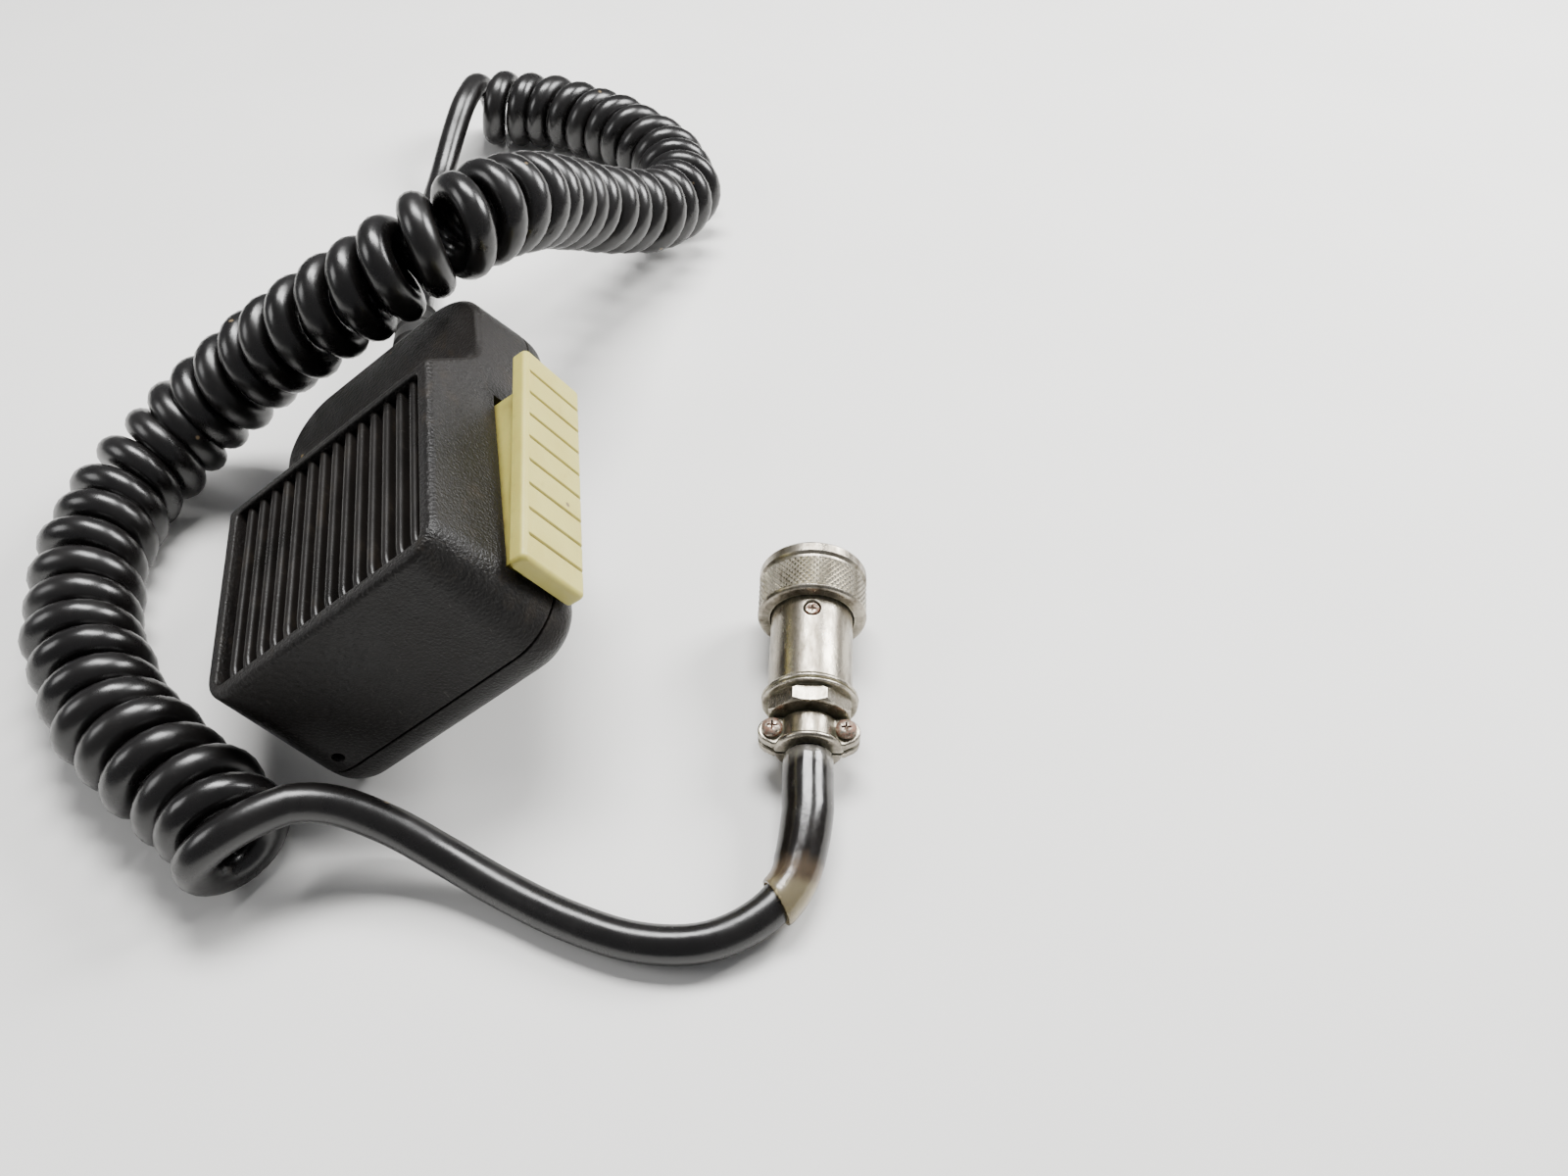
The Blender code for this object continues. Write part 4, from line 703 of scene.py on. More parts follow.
def inner_looks():
    """Finishes of the pieces inside, each from its stock material and how it was worked."""
    return {
        # zinc plate, bright dipped: bluish grey with a faint rainbow of crystals
        "steel": stock("steel, zinc plated and dipped", ("#B9BBB8", "#8F9294"), (0.8, 0.8, 0.8),
                       (0.22, 0.42), 0.015, metallic=1.0, pattern={"Detail": 5.0}),
        # drawn wire: die lines along a dark oiled metal
        "spring": stock("spring steel, drawn wire", ("#7E7F82", "#55565A"), (0.2, 0.2, 1.2),
                        (0.25, 0.4), 0.01, metallic=1.0),
        # sintered and ground: tiny open pores in a dark ground face
        "magnet": stock("ferrite magnet, ground", ("#3B3C40", "#232427"), (0.25, 0.25, 0.25),
                        (0.4, 0.6), 0.02, "Voronoi", metallic=0.6),
        # close-wound wire: fine rings of copper under brown enamel, one turn each 0.12 mm
        "copper": stock("copper wire, enamelled and wound", ("#A4552E", "#6B2F17"), (1, 1, 0.12),
                        (0.2, 0.32), 0.03, "Wave", metallic=1.0, pattern={"Scale": 0.16}),
        # stretched film: nearly clear amber, ripples from heat setting
        "film": stock("polyester film, heat formed", ("#D2C8B0", "#BFB294"), (1.2, 1.2, 1.2),
                      (0.08, 0.2), 0.02, IOR=1.57),
        # deep-drawn tin plate: bright with spangles
        "tin": stock("tin plate, deep drawn", ("#CFCFCB", "#A9AAA6"), (1.5, 1.5, 1.5), (0.2, 0.38),
                     0.015, "Voronoi", metallic=1.0),
        # plain weave of black thread, 0.45 mm pitch
        "cloth": stock("black cloth, plain woven", ("#0C0C0C", "#1D1C1B"), (0.45, 0.45, 0.45),
                       (0.85, 0.95), 0.12, "Voronoi", pattern={"Randomness": 0.0},
                       Sheen_Weight=0.3),
        # open-cell foam: pores of about 0.7 mm
        "foam": stock("polyurethane foam, open cell", ("#2A2A2A", "#5B5A57"), (0.7, 0.7, 0.7),
                      (0.9, 1.0), 0.35, "Voronoi"),
        # paper and phenolic resin laminate: brown with pressed fibre streaks
        "board": stock("phenolic paper laminate, pressed", ("#93622F", "#6E431C"), (0.5, 3.0, 0.5),
                       (0.35, 0.5), 0.02, IOR=1.6, pattern={"Detail": 6.0}),
        # glass-filled thermoplastic: satin black with pale flecks
        "switch": stock("glass-filled nylon, moulded black", ("#181818", "#2A2A29"),
                        (0.3, 0.9, 0.3), (0.35, 0.5), 0.015, IOR=1.53),
        # natural nylon: milky, waxy
        "nylon": stock("natural nylon, moulded", ("#E2DFD3", "#CFC9B6"), (1.2, 1.2, 1.2),
                       (0.3, 0.42), 0.01, IOR=1.53, Subsurface_Weight=0.2,
                       Subsurface_Scale=0.001),
        # soft white insulation: waxy, with faint draw streaks
        "white_wire": stock("white PVC wire, extruded", ("#DEDCD2", "#C7C2B2"), (0.6, 0.6, 3.0),
                            (0.25, 0.4), 0.01, IOR=1.53),
        # the same insulation in red
        "red_wire": stock("red PVC wire, extruded", ("#A8171A", "#7C0E12"), (0.6, 0.6, 3.0),
                          (0.25, 0.4), 0.01, IOR=1.53),
        # tinned copper strands laid round each other, 0.3 mm apart
        "screen_wire": stock("tinned copper, stranded", ("#A3A29C", "#6E6C66"), (0.3, 0.3, 0.3),
                             (0.3, 0.5), 0.06, "Wave", metallic=1.0, pattern={"Scale": 0.2}),
        # phenolic moulding powder: dark brown, polished by the tool
        "insulator": stock("brown phenolic, moulded", ("#3F2313", "#2A150A"), (0.8, 0.8, 0.8),
                           (0.22, 0.36), 0.01, IOR=1.6, place=PLUG, pattern={"Detail": 5.0}),
        # turned brass with a trace of tarnish
        "brass": stock("brass, turned", ("#C79A4E", "#94692F"), (2.0, 2.0, 0.15), (0.18, 0.35),
                       0.01, metallic=1.0, place=PLUG),
    }


# ---------------------------------------------------------------- cord
def cord_route():
    start = [MIC @ Vector((0, y, EXIT_Z)) / MM for y in MIC_TAIL_START]
    first = smooth_route(start + MIC_TAIL, TAIL_STEP)
    drop = Vector((0, 0, COIL_MEAN_R))
    axis = [Vector(MIC_TAIL[-1]) - drop] + COIL_ROUTE + [Vector(PLUG_TAIL[0]) - drop]
    coil = helix(smooth_route(axis, 1.0))
    end = [PLUG @ Vector((0, 0, z)) / MM for z in PLUG_TAIL_END]
    last = smooth_route(PLUG_TAIL + end, TAIL_STEP)
    route = eased(first + coil[1:-1] + last, len(first))
    return eased(route, len(first) + len(coil) - 2), last


def make_cord(look):
    route, _ = cord_route()
    bar = swept(route, lambda share: CORD_R, CORD_SIDES)
    return make("curly_cord", bar, TABLE, look, "microphone",
                ("cord_tail_mic", "cord_coil", "cord_tail_plug"), sharp=60), route


def make_sleeve(look):
    """The hose over the cord behind the plug, flared and cut slanting at its free end."""
    _, last = cord_route()
    fine = smooth_route(last[::-1], 0.5)
    walked = 0.0
    part = []
    for a, b in zip(fine, fine[1:]):
        walked += (b - a).length
        if SLEEVE_NEAR < walked < SLEEVE_NEAR + SLEEVE_LENGTH:
            part.append(b)

    def outer(share):
        lip = 0.12 if share < 0.02 or share > 0.985 else 0.0
        return SLEEVE_OUT_R - lip + 0.12 * math.sin(5 * share) - 0.1 * share

    pipe = swept(part, outer, 40, lambda share: SLEEVE_IN_R)
    end = part[-1]
    ahead = (part[-1] - part[-4]).normalized()
    side = ahead.cross(Vector((0, 0, 1))).normalized()
    for vert in pipe.verts:
        offset = vert.co - end
        near = max(0.0, 1.0 + offset.dot(ahead) / 6.0)
        if offset.length < 8.0:
            vert.co -= ahead * (0.28 * near * (SLEEVE_OUT_R + offset.dot(side)) * 0.9)
    return make("cord_hose_sleeve", pipe, TABLE, look, "microphone", ("cord_sleeve",))


# ---------------------------------------------------------------- shells
def body_outline(side, head, neck, z):
    """The body's outline, moved in by the given amounts at its sides and ends."""
    half = HALF_WIDTH - side
    high = LENGTH - neck
    head_r = max(HEAD_CORNER - max(side, head), 1.0)
    neck_r = max(NECK_CORNER - max(side, neck), 1.0)
    ring = arc((-half + head_r, head + head_r), head_r, 180, 270, CORNER_STEPS)
    ring += arc((half - head_r, head + head_r), head_r, 270, 360, CORNER_STEPS)
    ring += arc((half - neck_r, high - neck_r), neck_r, 0, 90, CORNER_STEPS)
    ring += arc((-half + neck_r, high - neck_r), neck_r, 90, 180, CORNER_STEPS)
    return [(x, y, z) for x, y in ring]


def drafted(z, inset):
    share = (z - SEAM) / (FRONT - SEAM)
    return body_outline(inset + SIDE_DRAFT * share, inset + HEAD_DRAFT * share,
                        inset + NECK_DRAFT * share, z)


def ramp_tool(shift_y, shift_z):
    """Everything in front of the ramp and the neck's front face."""
    reach = 8.0
    corner = RAMP_START + (FRONT - NECK_FRONT) / math.tan(RAMP_SLOPE)
    centre = (corner + RAMP_ROUND * math.tan(RAMP_SLOPE / 2), NECK_FRONT + RAMP_ROUND)
    profile = [(LENGTH + reach, NECK_FRONT), (LENGTH + reach, FRONT + reach),
               (RAMP_START - reach / math.tan(RAMP_SLOPE), FRONT + reach)]
    profile += arc(centre, RAMP_ROUND, -90 - math.degrees(RAMP_SLOPE), -90, 16)
    profile = [(y + shift_y, z + shift_z) for y, z in profile]
    return prism(profile, -60, 60, "x")


def key_opening():
    return block((HALF_WIDTH - 6, KEY_OPENING_Y[0], KEY_OPENING_Z[0]),
                 (HALF_WIDTH + 4, KEY_OPENING_Y[1], KEY_OPENING_Z[1]))


def cord_opening():
    profile = [(0, 0), (CORD_OPENING_R, 0), (CORD_OPENING_R, 25), (0, 25)]
    return turned(profile, 48, along_y(0, LENGTH - 12.5, EXIT_Z))


def channel_middles():
    pitch = (2 * PANEL_HALF - CHANNEL_WIDTH) / (CHANNELS - 1)
    return [-PANEL_HALF + CHANNEL_WIDTH / 2 + pitch * n for n in range(CHANNELS)]


def front_shell():
    shell = shaped(loft([drafted(SEAM + GAP / 2, 0), drafted(FRONT, 0)]), ramp_tool(0, 0))
    soften(shell, EDGE_ROUND, 5, where=lambda middle: middle.z > SEAM + 1)
    soften(shell, SEAM_ROUND, 2, 40, lambda middle: middle.z < SEAM + 0.5)
    ceiling = FRONT - GRILLE_WALL
    cavity = shaped(loft([drafted(SEAM - REACH, WALL), drafted(ceiling, WALL)]),
                    ramp_tool(-GRILLE_WALL / 2, -WALL))
    shell = shaped(shell, cavity)
    panel = rounded_rectangle((-PANEL_HALF, PANEL_LOW), (PANEL_HALF, PANEL_HIGH), PANEL_CORNER)
    shell = shaped(shell, prism(panel, FRONT - CHANNEL_DEPTH, FRONT + REACH))
    rim = FRONT - 0.01
    soften(shell, PANEL_LIP, 3, 60,
           lambda middle: middle.z > rim and abs(middle.x) < PANEL_HALF + 0.1
           and PANEL_LOW - 0.1 < middle.y < PANEL_HIGH + 0.1)
    slots = []
    for middle in channel_middles():
        outline = rounded_rectangle((middle - CHANNEL_WIDTH / 2, PANEL_LOW + SLOT_MARGIN),
                                    (middle + CHANNEL_WIDTH / 2, PANEL_HIGH - SLOT_MARGIN), 0.7, 4)
        slots.append(prism(outline, ceiling - 1, FRONT - CHANNEL_DEPTH + 0.5))
    shell = shaped(shell, merge(slots))
    bosses = []
    for x, y in CASE_SCREWS:
        top = ceiling if y < RAMP_START else NECK_FRONT - WALL
        bosses.append(post(x, y, SEAM + GAP / 2, top + 0.6, SCREW_POST_R))
    bosses.append(post(PIVOT.x - 0.6, PIVOT.y, 17.5, ceiling + 0.6, 2.9))
    bosses.append(post(6.6, 70.5, 10.2, NECK_FRONT - WALL + 0.6, 2.2))
    shell = shaped(shell, merge(bosses), "UNION")
    well = [(WELL_R, 19.0), (WELL_R + 1.2, 19.0), (WELL_R + 1.2, ceiling + 0.4), (WELL_R, ceiling + 0.4)]
    shell = shaped(shell, turned(well, 64, Matrix.Translation((0, CARTRIDGE_Y, 0))), "UNION")
    holes = [post(x, y, SEAM - REACH, SEAM + 7, SCREW_HOLE_R) for x, y in CASE_SCREWS]
    holes.append(post(PIVOT.x, PIVOT.y, 16, 20.7, 1.3))
    holes.append(post(6.6, 70.5, 7.9, 14.7, 1.2))
    shell = shaped(shell, merge(holes))
    shell = shaped(shell, merge([key_opening(), cord_opening()]))
    pit = turned([(0, 0), (1.15, 0), (0.8, 1.0), (0.7, 1.7), (0, 1.8)], 28,
                 Matrix.Translation((-17.5, 0.35, 10.6)) @ Matrix.Rotation(-math.pi / 2, 4, "X"))
    return shaped(shell, pit)


def grille_ribs():
    """Fourteen round-topped ribs that curl down into the panel at the head end."""
    floor = FRONT - CHANNEL_DEPTH
    foot = floor - 0.08
    low_top = floor + 0.15
    stations = []
    for y, z in arc((PANEL_LOW + RIB_CURL, low_top), 1.0, 180, 90, 10):
        share = (y - (PANEL_LOW + RIB_CURL)) * RIB_CURL
        stations.append((PANEL_LOW + RIB_CURL + share, low_top + (z - low_top) * (RIB_TOP - low_top)))
    stations.append((PANEL_HIGH + 0.25, RIB_TOP))
    ribs = []
    middles = channel_middles()
    for a, b in zip(middles, middles[1:]):
        middle = (a + b) / 2
        rings = []
        for y, top in stations:
            crown = min(RIB_CROWN, top - foot - 0.02)
            ring = [(middle - RIB_FOOT, y, foot), (middle - RIB_FOOT, y, foot + 0.01)]
            for step in range(11):
                angle = math.radians(180 - 18 * step)
                ring.append((middle + RIB_CROWN * math.cos(angle), y,
                             top - crown + crown * math.sin(angle)))
            ring += [(middle + RIB_FOOT, y, foot + 0.01), (middle + RIB_FOOT, y, foot)]
            rings.append(ring)
        ribs.append(loft(rings))
    return merge(ribs)


def back_shell():
    rings = []
    for step in range(13):
        angle = math.radians(90 * step / 12)
        inset = BACK_ROUND * (1 - math.sin(angle))
        rings.append(body_outline(inset, inset, inset, BACK_ROUND * (1 - math.cos(angle))))
    rings.append(body_outline(0, 0, 0, SEAM - GAP / 2))
    shell = loft(rings)
    soften(shell, SEAM_ROUND, 2, 40, lambda middle: middle.z > SEAM - 0.5)
    inset = WALL + 2.6
    cavity = loft([body_outline(inset, inset, inset, WALL), body_outline(WALL, WALL, WALL, WALL + 2.6),
                   body_outline(WALL, WALL, WALL, SEAM + REACH)])
    shell = shaped(shell, cavity)
    posts = [post(x, y, WALL - 0.6, SEAM - GAP / 2, SCREW_POST_R) for x, y in CASE_SCREWS]
    posts.append(post(PIVOT.x - 0.6, PIVOT.y, WALL - 0.6, 5.5, 2.7))
    posts += [post(x, y, WALL - 0.6, 4.2, 2.2) for x, y in BOARD_POSTS]
    shell = shaped(shell, merge(posts), "UNION")
    shell = shaped(shell, merge([post(x, y, 2.7, SEAM + REACH, SCREW_HOLE_R) for x, y in CASE_SCREWS]))
    bores = [post(x, y, -REACH, 3.2, 2.8, 40) for x, y in CASE_SCREWS]
    bores.append(post(0, STUD_Y, -REACH, WALL + REACH, 2.05))
    bores.append(post(PIVOT.x, PIVOT.y, 2.6, 9, 1.3))
    bores.append(post(*BOARD_POSTS[1], 2.4, SEAM, 0.95))
    shell = shaped(shell, merge(bores))
    soften(shell, 0.3, 2, 60, lambda middle: middle.z < 0.02)
    return shaped(shell, merge([key_opening(), cord_opening()]))


# ---------------------------------------------------------------- soft pieces inside
def foam_pad():
    """Foam squeezed between the back shell and the cartridge, so that its side bulges."""
    low = WALL + GAP
    half = (CUP_LOW - GAP - low) / 2
    profile = [(0, low)]
    for step in range(9):
        angle = math.radians(22.5 * step - 90)
        profile.append((PAD_R - 0.9 + 0.9 * math.cos(angle), low + half + half * math.sin(angle)))
    profile.append((0, low + 2 * half))
    return turned(profile, 48, Matrix.Translation((0, PAD_Y, 0)))


def grille_cloth():
    """Thin cloth glued by its rim behind the grille; its middle hangs a little."""
    high = FRONT - GRILLE_WALL - GAP
    radius = WELL_R - GAP
    top = [(radius * n / 6, high - 0.25 * (1 - (n / 6) ** 2)) for n in range(7)]
    under = [(across, z - 0.35) for across, z in reversed(top)]
    return turned(top + under, 64, Matrix.Translation((0, CARTRIDGE_Y, 0)))


# ---------------------------------------------------------------- key bar
def plate_ring(y, end_inset, groove):
    """The key plate's cross-section: drawn in at its ends, and cut by a groove that stops short of
    its front edge and notches its back edge. The groove is a share of its full depth."""
    outer = PLATE_X[1] - end_inset
    floor = outer - GROOVE_DEPTH * groove
    low = PLATE_Z[0] + end_inset + GROOVE_NOTCH * groove
    high = PLATE_Z[1] - end_inset
    small = PLATE_INNER_ROUND
    back = PLATE_ROUND - GROOVE_DEPTH * 0.5 * groove
    outline = arc((outer - PLATE_ROUND, high - PLATE_ROUND), PLATE_ROUND, 0, 90, 6)
    outline += arc((PLATE_X[0] + small, high - small), small, 90, 180, 3)
    outline += arc((PLATE_X[0] + small, low + small), small, 180, 270, 3)
    outline += arc((floor - back, low + back), back, 270, 360, 6)
    outline += [(floor, high - PLATE_ROUND - GROOVE_STOP - 0.3), (outer, high - PLATE_ROUND - GROOVE_STOP)]
    return [(x, y, z) for x, z in outline]


def key_bar():
    rings = []
    for step in range(7):
        angle = math.radians(90 * (1 - step / 6))
        inset = PLATE_ROUND * (1 - math.cos(angle))
        rings.append(plate_ring(PLATE_Y[0] + PLATE_ROUND * (1 - math.sin(angle)), inset, 0.0))
    pitch = (PLATE_Y[1] - PLATE_Y[0]) / (GROOVES + 1)
    for n in range(1, GROOVES + 1):
        y = PLATE_Y[0] + pitch * n
        steps = [(-1.25, 0.0), (-0.9, 0.12), (-0.18, 1.0), (0.18, 1.0), (0.9, 0.12), (1.25, 0.0)]
        for offset, share in steps:
            rings.append(plate_ring(y + offset * GROOVE_HALF, 0.0, share))
    for step in range(7):
        angle = math.radians(90 * step / 6)
        inset = PLATE_ROUND * (1 - math.cos(angle))
        rings.append(plate_ring(PLATE_Y[1] - PLATE_ROUND * (1 - math.sin(angle)), inset, 0.0))
    key = loft(rings)
    inner = PLATE_X[0] + 0.6
    end = 46.0 - PIVOT.y
    travel = (end + 3.4) * math.sin(SWING)
    toe_out = HALF_WIDTH - WALL - SIDE_DRAFT * 0.4 - GAP - travel - PIVOT.x
    toe_in = toe_out - 2.3
    low = KEY_OPENING_Y[0] + 0.6 + inner * math.sin(SWING) - PIVOT.y
    skirt = [(inner, low), (inner, end), (toe_out, end), (toe_out, end + 3.4), (toe_in, end + 3.4),
             (toe_in, end - 4.5), (-1.0, end - 8), (-1.0, low)]
    skirt = soften(prism(skirt, *SKIRT_Z), 0.3, 2)
    key = shaped(key, skirt, "UNION")
    key = shaped(key, post(0, 0, SKIRT_Z[0], SKIRT_Z[1], BARREL_R), "UNION")
    key = shaped(key, block((-4, -4, 9.0), (3.6, 4.2, 14.0)))
    return shaped(key, post(0, 0, SKIRT_Z[0] - 2, SKIRT_Z[1] + 2, 1.08))


# ---------------------------------------------------------------- turned and clamped metal
def hang_stud():
    profile = [(0, -10.5)] + arc((5.7, -9.7), 0.8, -90, 0, 5) + arc((5.9, -8.5), 0.6, 0, 90, 4)
    profile += [(3.9, -7.9), (3.6, -7.6), (3.6, -1.8), (5.2, -1.8), (5.6, -1.4), (5.6, -0.3),
                (2.05, -0.3), (2.05, -7.5), (0, -7.5)]
    return turned(profile, 72, Matrix.Translation((0, STUD_Y, 0)))


def cord_boot():
    """A rubber sleeve with a flange inside the neck and soft rings that taper along the cord."""
    inside = LENGTH - NECK_DRAFT * 0.3 - WALL - GAP
    outside = LENGTH + GAP
    length = 21.0
    profile = [(3.3, inside - 2.2), (5.3, inside - 2.2), (5.3, inside), (4.6, inside), (4.6, outside),
               (5.5, outside), (5.8, outside + 0.3)]
    rings = 4
    for n in range(rings):
        share = (n + 0.45) / rings
        y = outside + length * share
        radius = 5.8 + (4.1 - 5.8) * share
        profile += [(radius, y - 0.3), (radius - 0.12, y), (radius - 0.6, y + 0.35), (radius - 0.7, y + 0.7),
                    (radius - 0.7, y + 1.4), (radius - 0.55, y + 1.8), (radius - 0.2, y + 2.1)]
    profile += [(4.1, outside + length - 0.4), (3.8, outside + length), (3.3, outside + length)]
    return turned(profile, 48, along_y(0, 0, EXIT_Z))


def coupling_ring():
    """A turned ring with a diamond knurl, a smooth rear edge, a groove and an inner thread."""
    sides = 2 * KNURLS
    rear = [(7.3, RING_LOW), (8.6, RING_LOW)] + arc((8.65, RING_LOW + 0.75), 0.75, -75, -5, 5)
    knurl_low = RING_LOW + 1.0
    knurl_high = RING_LOW + 6.7
    rows = [("plain", radius, z) for radius, z in rear]
    rows.append(("plain", RING_R - KNURL_DEPTH, knurl_low - 0.05))
    for n in range(KNURL_ROWS):
        rows.append(("knurl", n, knurl_low + (knurl_high - knurl_low) * n / (KNURL_ROWS - 1)))
    front = [(RING_R - KNURL_DEPTH, knurl_high + 0.1), (8.95, knurl_high + 0.35), (8.95, knurl_high + 0.8),
             (9.25, knurl_high + 1.1), (RING_R, knurl_high + 1.35), (RING_R, RING_HIGH - 0.5),
             (9.2, RING_HIGH - 0.15), (8.95, RING_HIGH), (8.5, RING_HIGH)]
    threads = 7
    for n in range(threads):
        z = RING_HIGH - 0.6 - n * 0.95
        front += [(8.0, z), (8.35, z - 0.47)]
    front += [(7.9, RING_LOW + 2.0), (7.3, RING_LOW + 2.0)]
    rows += [("plain", radius, z) for radius, z in front]
    bm = bmesh.new()
    columns = []
    for kind, value, z in rows:
        ring = []
        for i in range(sides):
            radius = value
            if kind == "knurl":
                peak = (i + value) % 2 == 1
                radius = RING_R if peak else RING_R - KNURL_DEPTH
            angle = math.tau * i / sides
            ring.append(bm.verts.new((radius * math.cos(angle), radius * math.sin(angle), z)))
        columns.append((kind, value, ring))
    for (kind, value, low), (next_kind, _, high) in zip(columns, columns[1:] + columns[:1]):
        for i in range(sides):
            j = (i + 1) % sides
            if kind == "knurl" and next_kind == "knurl":
                if (i + value) % 2 == 0:
                    bm.faces.new((low[i], low[j], high[j]))
                    bm.faces.new((low[i], high[j], high[i]))
                else:
                    bm.faces.new((low[i], low[j], high[i]))
                    bm.faces.new((low[j], high[j], high[i]))
            else:
                bm.faces.new((low[i], low[j], high[j], high[i]))
    return bm


def plug_barrel():
    shoulder = RING_LOW + 2.0 + GAP
    profile = [(BARREL_IN_R, BARREL_LOW), (6.5, BARREL_LOW)]
    profile += arc((BARREL_OUT_R - 0.5, BARREL_LOW + 0.5), 0.5, -90, 0, 5)
    profile += [(BARREL_OUT_R, shoulder), (7.6, shoulder), (7.6, shoulder + 1.2),
                (BARREL_OUT_R, shoulder + 1.2), (BARREL_OUT_R, BARREL_HIGH - 0.4),
                (BARREL_OUT_R - 0.4, BARREL_HIGH), (BARREL_IN_R, BARREL_HIGH)]
    barrel = turned(profile, 96)
    radial = along_y(0, 0, SET_SCREW_Z)
    bore = [(0, 0), (1.5, 0), (1.5, BARREL_OUT_R - 0.25), (1.75, BARREL_OUT_R + 0.1), (1.75, 9), (0, 9)]
    hole = turned(bore, 40, radial)
    return shaped(barrel, hole)


def cross_recess(arm, width, low, high, place):
    """A cutter for a cross-head recess that narrows towards its floor."""
    outline = [(-arm, -width), (-width, -width), (-width, -arm), (width, -arm), (width, -width),
               (arm, -width), (arm, width), (width, width), (width, arm), (-width, arm),
               (-width, width), (-arm, width)]
    rings = [[(x * 0.55, y * 0.55, low) for x, y in outline], [(x, y, high) for x, y in outline]]
    recess = loft(rings)
    bmesh.ops.transform(recess, matrix=place, verts=recess.verts)
    return recess


def set_screw():
    place = along_y(0, BARREL_OUT_R - 0.12, SET_SCREW_Z)
    head = turned([(0, -0.9), (1.2, -0.9), (1.2, -0.15), (1.05, 0), (0, 0.05)], 36, place)
    return shaped(head, cross_recess(0.85, 0.17, -0.6, 0.3, place))


def clamp_screw(x):
    place = along_y(x, EAR_TOP + GAP, CLAMP_SCREW_Z)
    profile = [(0, -3.6), (0.5, -3.6), (0.75, -3.1), (0.75, 0), (1.55, 0), (1.7, 0.15), (1.7, 0.45),
               (1.58, 0.75), (1.25, 1.0), (0.8, 1.1), (0, 1.12)]
    return shaped(turned(profile, 36, place), cross_recess(1.0, 0.2, 0.35, 1.4, place))


def clamp_half(side, low, high):
    """Half of the cable clamp: a half ring round the cord, a rounded lip, and two lobed ears."""
    bore = CORD_R + GAP
    part = 0.35
    opening = math.degrees(math.asin(part / bore))
    points = [(x, side * y) for x, y in arc((0, 0), bore, opening, 180 - opening, 16)]
    points += [(-EAR_HALF - 1, side * part), (-EAR_HALF - 1, side * EAR_TOP)]
    start = math.degrees(math.asin(EAR_TOP / JAW_R))
    points += [(x, side * y) for x, y in arc((0, 0), JAW_R, 180 - start, start, 16)]
    points += [(EAR_HALF + 1, side * EAR_TOP), (EAR_HALF + 1, side * part)]
    half = prism(points, low, high)
    lobes = arc((CLAMP_SCREW_X, CLAMP_SCREW_Z), EAR_R, -70, 70, 12)
    outline = lobes + [(4.0, high + 1), (-4.0, high + 1)] + [(-x, z) for x, z in reversed(lobes)]
    outline += [(-4.0, low - 1), (4.0, low - 1)]
    half = shaped(half, prism(outline, -9, 9, "y"), "INTERSECT")
    soften(half, 0.4, 3, 40)
    lip = [(bore, LIP_LOW)] + arc((LIP_R - 0.6, LIP_LOW + 0.6), 0.6, -80, 80, 8) + [(bore, LIP_LOW + 1.2)]
    lip = turned(lip, 96)
    lip = shaped(lip, block((-9, min(side * part, side * 9), -3), (9, max(side * part, side * 9), 6)),
                 "INTERSECT")
    return shaped(half, lip, "UNION")


def screw_holes(radius):
    return merge([turned([(0, 0), (radius, 0), (radius, 12), (0, 12)], 24, along_y(x, -6, CLAMP_SCREW_Z))
                  for x in (-CLAMP_SCREW_X, CLAMP_SCREW_X)])


def clamp_collar():
    """The collar that closes the barrel: two beads, an eight-sided nut and the lower jaw."""
    bore = CORD_R + GAP
    high = BARREL_LOW - GAP
    spigot = BARREL_IN_R - GAP
    profile = [(bore, NUT_LOW + 0.5), (6.6, NUT_LOW + 0.5), (6.6, FLANGE_LOW)]
    profile += arc((FLANGE_R - 0.3, FLANGE_LOW + 0.3), 0.3, -90, 60, 5)
    profile += [(FLANGE_R - 0.45, FLANGE_LOW + 0.68)]
    profile += arc((FLANGE_R - 0.3, high - 0.42), 0.42, -40, 90, 6)
    profile += [(spigot, high), (spigot, BARREL_LOW + 3.2), (bore, BARREL_LOW + 3.2)]
    collar = turned(profile, 96)
    outline = [(math.cos(math.tau * (n + 0.5) / NUT_FLATS), math.sin(math.tau * (n + 0.5) / NUT_FLATS))
               for n in range(NUT_FLATS)]
    reach = NUT_R * 0.91 / math.cos(math.pi / NUT_FLATS)
    nut = prism([(x * reach, y * reach) for x, y in outline], NUT_LOW, FLANGE_LOW + 0.1)
    rounding = [(bore, NUT_LOW), (6.3, NUT_LOW), (6.75, NUT_LOW + 0.2), (NUT_R, NUT_LOW + 0.75),
                (NUT_R, FLANGE_LOW - 0.9), (6.7, FLANGE_LOW + 0.1), (bore, FLANGE_LOW + 0.1)]
    nut = shaped(nut, turned(rounding, 96), "INTERSECT")
    collar = shaped(collar, nut, "UNION")
    collar = shaped(collar, clamp_half(-1, 0.5, NUT_LOW + 0.6), "UNION")
    return shaped(collar, screw_holes(0.9))


def clamp_saddle():
    return shaped(clamp_half(1, 0.5, NUT_LOW - GAP), screw_holes(1.35))


# ---------------------------------------------------------------- putting it together
def finer(name, width):
    """Rounds the edges of a solid that is carried over as it is."""
    item = frame["nodes"][name]
    weld = item.modifiers.new("one surface", "WELD")
    weld.merge_threshold = 0.00001
    bevel = item.modifiers.new("broken edges", "BEVEL")
    bevel.width = width * MM
    bevel.segments = 2
    bevel.limit_method = "ANGLE"
    bevel.angle_limit = math.radians(38)
    bevel.use_clamp_overlap = True


def dress(names, look):
    for name in names:
        data = frame["nodes"][name].data
        data.materials.clear()
        data.materials.append(look)


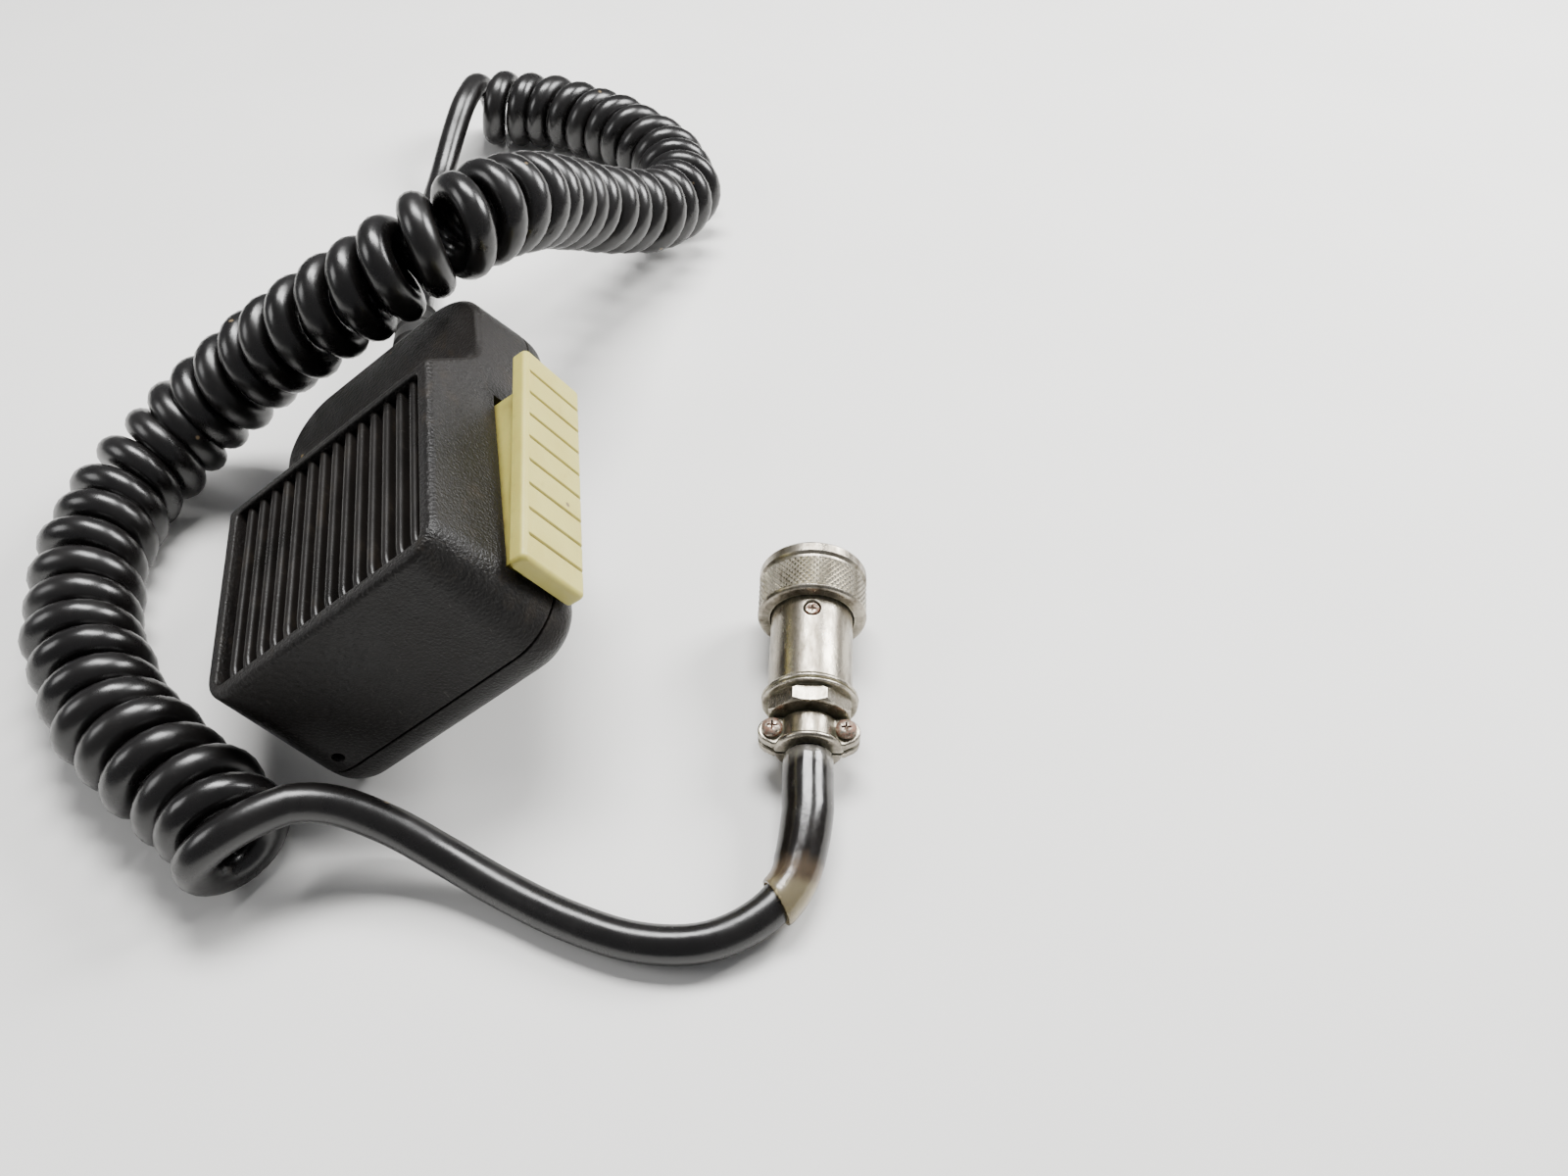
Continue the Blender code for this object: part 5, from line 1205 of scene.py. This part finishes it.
def build():
    shell_look = moulded_abs("black ABS, spark-eroded grain")
    rib_look = moulded_abs("black ABS, polished ribs", 0.1)
    nickel = nickel_plate("brass, nickel plated and dulled", PLUG)
    nickel_ring = nickel_plate("brass, knurled and nickel plated", PLUG, -0.03)
    nickel_stud = nickel_plate("brass, turned and nickel plated", MIC, 0.04)
    rusty = nickel_plate("steel screw, nickel plated and rusting", PLUG, rust=0.2)
    inner = inner_looks()

    cord, route = make_cord(extruded_pvc())
    sleeve = make_sleeve(smoky_pvc())
    boot = make("strain_relief_boot", cord_boot(), MIC, moulded_rubber(), "microphone",
                ("cord_boot",), sharp=50)
    make("front_case", front_shell(), MIC, shell_look, "microphone", ("front_shell",))
    make("grille_ribs", grille_ribs(), MIC, rib_look, "microphone", ("front_shell",),
         sharp=60)
    make("back_case", back_shell(), MIC, shell_look, "microphone", ("back_shell",))
    make("key_plate", key_bar(), KEY, moulded_cream_abs(), "key", ("key_bar",), sharp=40)
    make("hang_up_stud", hang_stud(), MIC, nickel_stud, "microphone", ("hang_stud",))
    ring = make("knurled_ring", coupling_ring(), PLUG, nickel_ring, "ring", ("coupling_ring",), 24)
    on_plug = [
        make("barrel_sleeve", plug_barrel(), PLUG, nickel, "microphone", ("plug_barrel",)),
        make("barrel_set_screw", set_screw(), PLUG, rusty, "microphone", ("plug_set_screw",)),
        make("clamp_nut", clamp_collar(), PLUG, nickel, "microphone", ("clamp_collar",)),
        make("clamp_bridge", clamp_saddle(), PLUG, nickel, "microphone", ("clamp_saddle",)),
    ]
    for n, x in enumerate((-CLAMP_SCREW_X, CLAMP_SCREW_X), 1):
        on_plug.append(make("clamp_bolt_%d" % n, clamp_screw(x), PLUG, rusty, "microphone",
                            ("clamp_screw_%d" % n,)))
    pad = make("foam_pad", foam_pad(), MIC, inner["foam"], "microphone", ("cartridge_pad",))
    make("grille_cloth", grille_cloth(), MIC, inner["cloth"], "microphone", ("dust_cloth",))
    contacts = ["contact_%d" % n for n in range(1, 5)]
    screws = ["case_screw_%d" % n for n in range(1, 5)]
    finishes = {
        "steel": screws + ["stud_screw", "cartridge_cup", "board_screw", "cord_clip", "clip_screw",
                           "key_pin"],
        "spring": ["key_spring"], "tin": ["cartridge_cover"], "magnet": ["magnet"],
        "copper": ["voice_coil"], "film": ["diaphragm"], "board": ["switch_board"],
        "switch": ["switch_body"], "nylon": ["switch_plunger"], "white_wire": ["lead_audio"],
        "red_wire": ["lead_key"], "screen_wire": ["lead_ground"], "insulator": ["plug_insert"],
        "brass": contacts,
    }
    for finish, names in finishes.items():
        dress(names, inner[finish])
    dress(["cartridge_gasket"], boot.data.materials[0])
    for name in screws + contacts + ["plug_insert", "stud_screw", "cord_clip", "cartridge_cup",
                                     "switch_body", "switch_plunger", "switch_board"]:
        finer(name, 0.12)


# ---------------------------------------------------------------- floor and light
def add_floor():
    """Plain pale card with a barely visible tooth."""
    look, tree = surface("pale card, calendered", 0.6, IOR=1.45)
    cloud = cells(tree, TABLE, (60, 60, 60), Detail=3.0)
    body = node(tree, "MixRGB", node(tree, "MapRange", cloud, 0.3, 0.7), "#E6E5E2", "#E2E1DE")
    joined(look, body)
    mesh = bpy.data.meshes.new("floor")
    size = 9.0
    low = -0.0002
    mesh.from_pydata([(-size, -size, low), (size, -size, low), (size, size, low), (-size, size, low)],
                     [], [(0, 1, 2, 3)])
    mesh.materials.append(look)
    floor = bpy.data.objects.new("floor", mesh)
    bpy.context.scene.collection.objects.link(floor)


def add_light(name, spot, target, size, power):
    data = bpy.data.lights.new(name, "AREA")
    data.shape = "RECTANGLE"
    data.size = size[0]
    data.size_y = size[1]
    data.energy = power
    item = bpy.data.objects.new(name, data)
    bpy.context.scene.collection.objects.link(item)
    item.location = spot
    item.rotation_euler = (Vector(target) - Vector(spot)).to_track_quat("-Z", "Y").to_euler()


def add_lights():
    centre = (0.0, 0.02, 0.02)
    add_light("overhead box", (0.10, 0.26, 0.66), centre, (0.40, 0.22), 10.5)
    add_light("right box", (0.62, 0.20, 0.46), centre, (0.30, 0.30), 10.0)
    add_light("left fill", (-0.6, 0.05, 0.45), centre, (0.3, 0.3), 1.6)
    world = bpy.data.worlds.new("studio")
    world.use_nodes = True
    bpy.context.scene.world = world
    background = world.node_tree.nodes["Background"]
    background.inputs["Color"].default_value = (0.95, 0.96, 1.0, 1.0)
    background.inputs["Strength"].default_value = 0.28


build()
add_floor()
add_lights()
